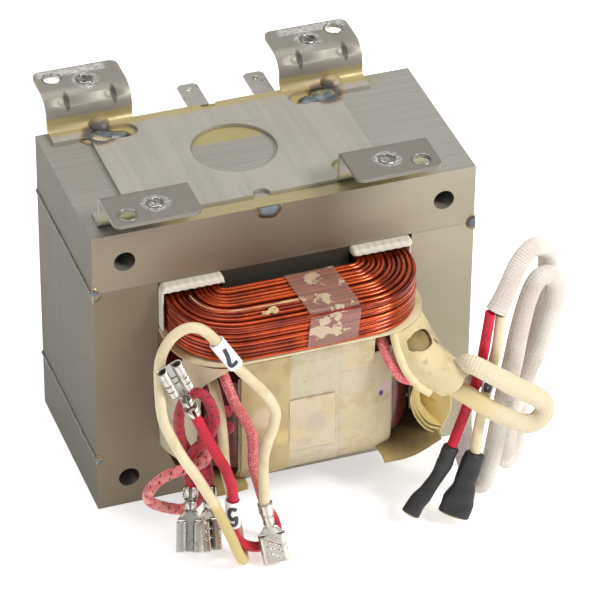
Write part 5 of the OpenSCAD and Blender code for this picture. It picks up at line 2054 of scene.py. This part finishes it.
@dataclass
class Boot:
    """A length of shrunk tubing over the end of a lead, with its widths and how flat it is along the way."""

    word: str
    route: list[list[float]]
    widths: list[float]
    flatness: list[float]
    sides: int = 36
    step: float = 0.4
    round_r: float = 0.7

    def build(self) -> Piece:
        """Makes the boot, with rounded ends and a worn rim.

        Returns:
            The new object.
        """
        path = smooth_route(self.route, self.step)
        share = np.linspace(0, 1, len(path))
        stops = np.linspace(0, 1, len(self.widths))
        wide = np.interp(share, stops, self.widths) / 2
        thin = wide * np.interp(share, stops, self.flatness)
        ends = np.minimum(share * len(path), (1 - share) * len(path)) * self.step
        rounded = np.sqrt(np.clip(1 - (1 - np.clip(ends / self.round_r, 0, 1)) ** 2, 0.35, 1))
        a, b, c, d = np.random.default_rng(SEED + len(self.word)).uniform(0, TURN, 4)

        def wrinkle(angle: Points, along: Points) -> Points:
            """Wrinkles the tubing."""
            waves = np.sin(along / 0.9 + 2 * np.sin(angle + a)) + np.sin(3 * angle + along / 1.7 + b)
            return 0.025 * (waves + np.sin(2 * angle + c) * np.sin(along / 2.9 + d))

        name = f"shrink_boot_{self.word}"
        made = Tube(name, path, 1.0, self.sides, wrinkle, wide * rounded, thin * rounded).build()
        rim = np.repeat(np.clip((0.9 - ends) / 0.5, 0, 1) * (share > 0.5), self.sides)
        made.data.attributes["rim"].data.foreach_set("value", np.append(rim, [0.0, 1.0]).astype(np.float32))
        return made


BOOTS = (Boot("red", [[39, -61, 24], [36, -61.2, 16.5], [32, -62, 11], [28, -63, 7.5], [25.5, -63.8, 4]],
              [4.6, 4.8, 3.9, 5.0, 5.5], [1, 1, 1, 0.85, 0.7]),
         Boot("cream", [[45.5, -63, 21.5], [44.2, -63.7, 18.2], [42, -64.9, 13.2], [39.6, -66.2, 7.8],
                        [37.5, -67.3, 3.2]], [5.8, 6.4, 6.6, 9.2, 9.0], [0.9, 0.8, 0.72, 0.5, 0.52]))


@dataclass
class Leads:
    """The leads, their woven sleeve, terminals, boots and markers."""

    lead_d: float = 3.1
    sleeve_d: float = 5.2
    step: float = 0.5
    sleeve_step: float = 0.475
    marker_wall: float = 0.72
    digit_t: float = 0.06
    tin: TinPlate = TinPlate()
    weave: WovenSleeve = WovenSleeve()

    def lead(self, name: str, route: list[list[float]], finish: Insulation | Braid, node: str,
             *pieces: Piece) -> None:
        """Args:
            name: Name of the piece.
            route: Points that it passes through.
            finish: What its insulation is made of.
            node: Node that it stands for.
            pieces: What sits on it; not used.
        """
        path = smooth_route(route, self.step)
        phases = np.random.default_rng(SEED + len(name)).uniform(0, TURN, 3)

        def plait(angle: Points, along: Points) -> Points:
            """Raises the yarns of a braid."""
            slant = along * TURN / finish.lay_length
            return 0.09 * np.sin(finish.yarns * (angle + slant)) * np.sin(finish.yarns * (angle - slant))

        def smooth(angle: Points, along: Points) -> Points:
            """Makes the insulation very slightly uneven."""
            waves = np.sin(along / 2.3 + phases[0] + angle) + np.sin(along / 5.1 + phases[1])
            return 0.02 * (waves + np.sin(2 * angle + phases[2]))

        sides, relief = (40, plait) if isinstance(finish, Braid) else (18, smooth)
        made = settle(Tube(name, path, self.lead_d / 2, sides, relief).build(), finish, node)

    def sleeve(self) -> None:
        """Makes the woven sleeve: flat and soaked at first, then the tied loop and the folds behind it."""
        path = eased(smooth_route(SLEEVE_TIE + SLEEVE_FOLDED[1:], self.sleeve_step), 6)
        along = lengths_along(path)

        def dry(length: Points) -> Points:
            """Gives how dry the sleeve is at a length along it, from 0 to 1."""
            return np.clip((length - self.weave.soaked_to + 5) / 10, 0, 1)

        def knit(angle: Points, length: Points) -> Points:
            """Raises the columns of stitches where the sleeve is dry."""
            columns, along_it = np.cos(self.weave.columns * angle), length * TURN / self.weave.stitch
            return dry(length) * (0.09 * columns + 0.05 * np.sin(along_it + columns * 1.5))

        start = np.clip((along - 6) / 8, 0, 1)
        flare = np.clip((along - along[-1] + 5) / 5, 0, 1) ** 2
        wide = 0.62 + 0.44 * start + 0.05 * dry(along) * np.sin(along / 9) + 0.1 * flare
        thin = 0.5 + 0.08 * start + 0.04 * dry(along) + 0.05 * np.sin(along / 7) + 0.12 * flare
        made = Tube("woven_sleeve", path, self.sleeve_d / 2, 80, knit, wide, thin, open_end=True).build()
        settle(made, self.weave, "sleeve_tie", "sleeve_folded")

    def digit(self, marker: Marker) -> Piece:
        """Lays the strokes of one digit on its marker.

        Args:
            marker: The ring that carries it.

        Returns:
            The strokes as one raised mesh.
        """
        start, end = np.array(marker.start), np.array(marker.end)
        axis = unit(end - start)
        out = unit(FACING - (axis @ FACING) * axis)
        up = axis if marker.forward else -axis
        side = np.cross(up, out)
        radius = self.lead_d / 2 + self.marker_wall
        points, faces = [], []
        for stroke in marker.strokes:
            line = smooth_route([(x * 1.5, y * 2.8, 0) for x, y in stroke], 0.12)[:, :2]
            normals = unit(np.gradient(line, axis=0) @ np.array([[0, 1], [-1, 0]]))
            base = len(points)
            for p, n in zip(line, normals):
                for share, lift in ((-0.58, 0.0), (-0.5, 0.05), (0.5, 0.05), (0.58, 0.0)):
                    u, v = p + share * n
                    reach = (radius + lift) * (math.cos(u / radius) * out + math.sin(u / radius) * side)
                    points.append((start + end) / 2 + v * up + reach)
            faces += [[base + k for k in f] for f in grid_faces(len(line), 4)]
        return thicken(mesh_piece(f"{marker.node}_digit", np.array(points), faces), self.digit_t, -1.0)

    def fittings(self) -> dict[str, Piece]:
        """Dresses the receptacles and markers, and makes the boots and digits.

        Returns:
            What sits on the leads, by name.
        """
        found = {made.node: settle(made.build(), self.tin, made.node) for made in RECEPTACLES}
        white = PlainPlastic("marker_white", "marker_white", "#f0f1f6", "#dedfe6")
        ink = PlainPlastic("marker_white", "marker_ink", "#34363a", "#54565a", 0.5)
        for marker in MARKERS:
            found[marker.node] = settle(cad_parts[marker.node], white)
            soften(found[marker.node], 0.15)
            found[f"{marker.node}_digit"] = settle(self.digit(marker), ink)
        for boot in BOOTS:
            node = f"boot_{boot.word}"
            found[node] = settle(boot.build(), ShrinkRubber(), node)
        return found

    def build(self) -> None:
        """Makes every lead with what sits on it."""
        on = self.fittings()
        cream = {"slot": "cream_rubber", "tint": "#d8cbaa", "shade": "#c8b78e"}
        red = {"slot": "red_rubber", "tint": "#be0c2e", "shade": "#9e0824"}
        pink = red | {"tint": "#ce2c4a"}
        stained = Insulation(name="cream_left", stained=(46.0, 88.0), **cream)
        self.lead("lead_cream_left", CREAM_LEFT, stained, "cream_lead_left", on["receptacle_cream"],
                  on["marker_left"], on["marker_left_digit"])
        self.lead("lead_red_left", RED_LEFT, Insulation(name="red_left", fuzzy_to=62.0, **red),
                  "red_lead_left", on["receptacle_red"], on["marker_middle"], on["marker_middle_digit"])
        self.lead("lead_braided_a", BRAID_A, Braid(name="braid_a", faded=(8.0, 58.0)),
                  "braided_lead_a", on["receptacle_braid_a"])
        self.lead("lead_braided_b", BRAID_B, Braid(name="braid_b"),
                  "braided_lead_b", on["receptacle_braid_b"])
        self.lead("lead_red_inner", RED_INNER, Insulation(name="red_inner", fuzzy_to=60.0, **pink),
                  "red_lead_inner")
        self.sleeve()
        self.lead("lead_red_right", RED_RIGHT, Insulation(name="red_right", **red),
                  "red_lead_right", on["boot_red"])
        self.lead("lead_cream_right", CREAM_RIGHT, Insulation(name="cream_right", **cream),
                  "cream_lead_right", on["boot_cream"], on["marker_right"], on["marker_right_digit"])


@dataclass
class Studio:
    """Pale floor, soft light and the camera at the photograph's angle."""

    lens: float = 240.0
    sensor: float = 36.0
    azimuth: float = -19.7
    elevation: float = 35.69
    roll: float = 0.57
    distance: float = 1194.9
    shift_right: float = 13.37
    shift_up: float = 34.85
    sky: float = 0.43
    floor_half: float = 3000.0
    floor_points: int = 9

    def camera(self) -> None:
        """Sets the camera."""
        a, e, r = (math.radians(v) for v in (self.azimuth, self.elevation, self.roll))
        back = Vector((math.sin(a) * math.cos(e), -math.cos(a) * math.cos(e), math.sin(e)))
        right = Vector((math.cos(a), math.sin(a), 0))
        up = back.cross(right)
        eye = right * self.shift_right + up * self.shift_up + back * self.distance
        x = right * math.cos(r) + up * math.sin(r)
        data = bpy.data.cameras.new("camera")
        data.lens, data.sensor_width = self.lens, self.sensor
        data.clip_start, data.clip_end = 0.05, 20
        made = bpy.data.objects.new("camera", data)
        turn = Matrix((x, back.cross(x), back)).transposed().to_4x4()
        made.matrix_world = Matrix.Translation(eye * MM) @ turn
        bpy.context.scene.collection.objects.link(made)
        bpy.context.scene.camera = made

    def light(self, name: str, place: Triple, size: float, power: float, tint: Triple) -> None:
        """Hangs a soft light that faces the object.

        Args:
            name: Name of the light.
            place: Where it hangs, in metres.
            size: Width of its face, in metres.
            power: Watts.
            tint: Colour of the light.
        """
        data = bpy.data.lights.new(name, "AREA")
        data.shape, data.size, data.energy, data.color = "SQUARE", size, power, tint
        made = bpy.data.objects.new(name, data)
        made.location = place
        made.rotation_euler = (Vector((0, 0, 0.05)) - Vector(place)).to_track_quat("-Z", "Y").to_euler()
        bpy.context.scene.collection.objects.link(made)

    def floor(self) -> None:
        """Lays the pale floor."""
        s = NodeSketch("pale_floor")
        colour = s.mix(s.noise(0.02, 2), "#fafafa", "#f6f6f6")
        s.finish(colour, 0.9, Specular_IOR_Level=0.1, Emission_Color=(1, 1, 1, 1), Emission_Strength=0.5)
        side = np.linspace(-self.floor_half, self.floor_half, self.floor_points)
        points = np.array([(x, y, 0) for y in side for x in side])
        made = mesh_piece("floor", points, grid_faces(self.floor_points, self.floor_points))
        made.data.materials.append(s.material)

    def build(self) -> None:
        """Makes the camera, the floor and the lights."""
        self.camera()
        self.floor()
        world = bpy.data.worlds.new("studio")
        world.use_nodes = True
        sky = world.node_tree.nodes["Background"]
        sky.inputs["Color"].default_value = (1, 1, 1, 1)
        sky.inputs["Strength"].default_value = self.sky
        bpy.context.scene.world = world
        self.light("key", (0.7, -0.7, 0.9), 0.4, 12.0, (1, 0.98, 0.95))
        self.light("top", (-0.1, 0.3, 1.2), 0.9, 7.0, (1, 1, 1))
        self.light("fill", (-0.9, -0.5, 0.5), 0.8, 1.6, (0.95, 0.97, 1))
        view = bpy.context.scene.view_settings
        view.view_transform = "Standard"
        view.look = "None"


def write_sizes() -> None:
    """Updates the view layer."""
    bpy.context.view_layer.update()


def main() -> None:
    """Builds the studio and every sub-assembly in order."""
    logging.basicConfig(level=logging.INFO, format="%(name)s: %(message)s")
    Studio().build()
    Leads().build()
    plate = MountingPlate()
    LaminatedCore().build(plate.pools())
    plate.build()
    PrimaryWinding().build()
    SecondaryWinding().build()
    write_sizes()


if __name__ == "__main__":
    main()
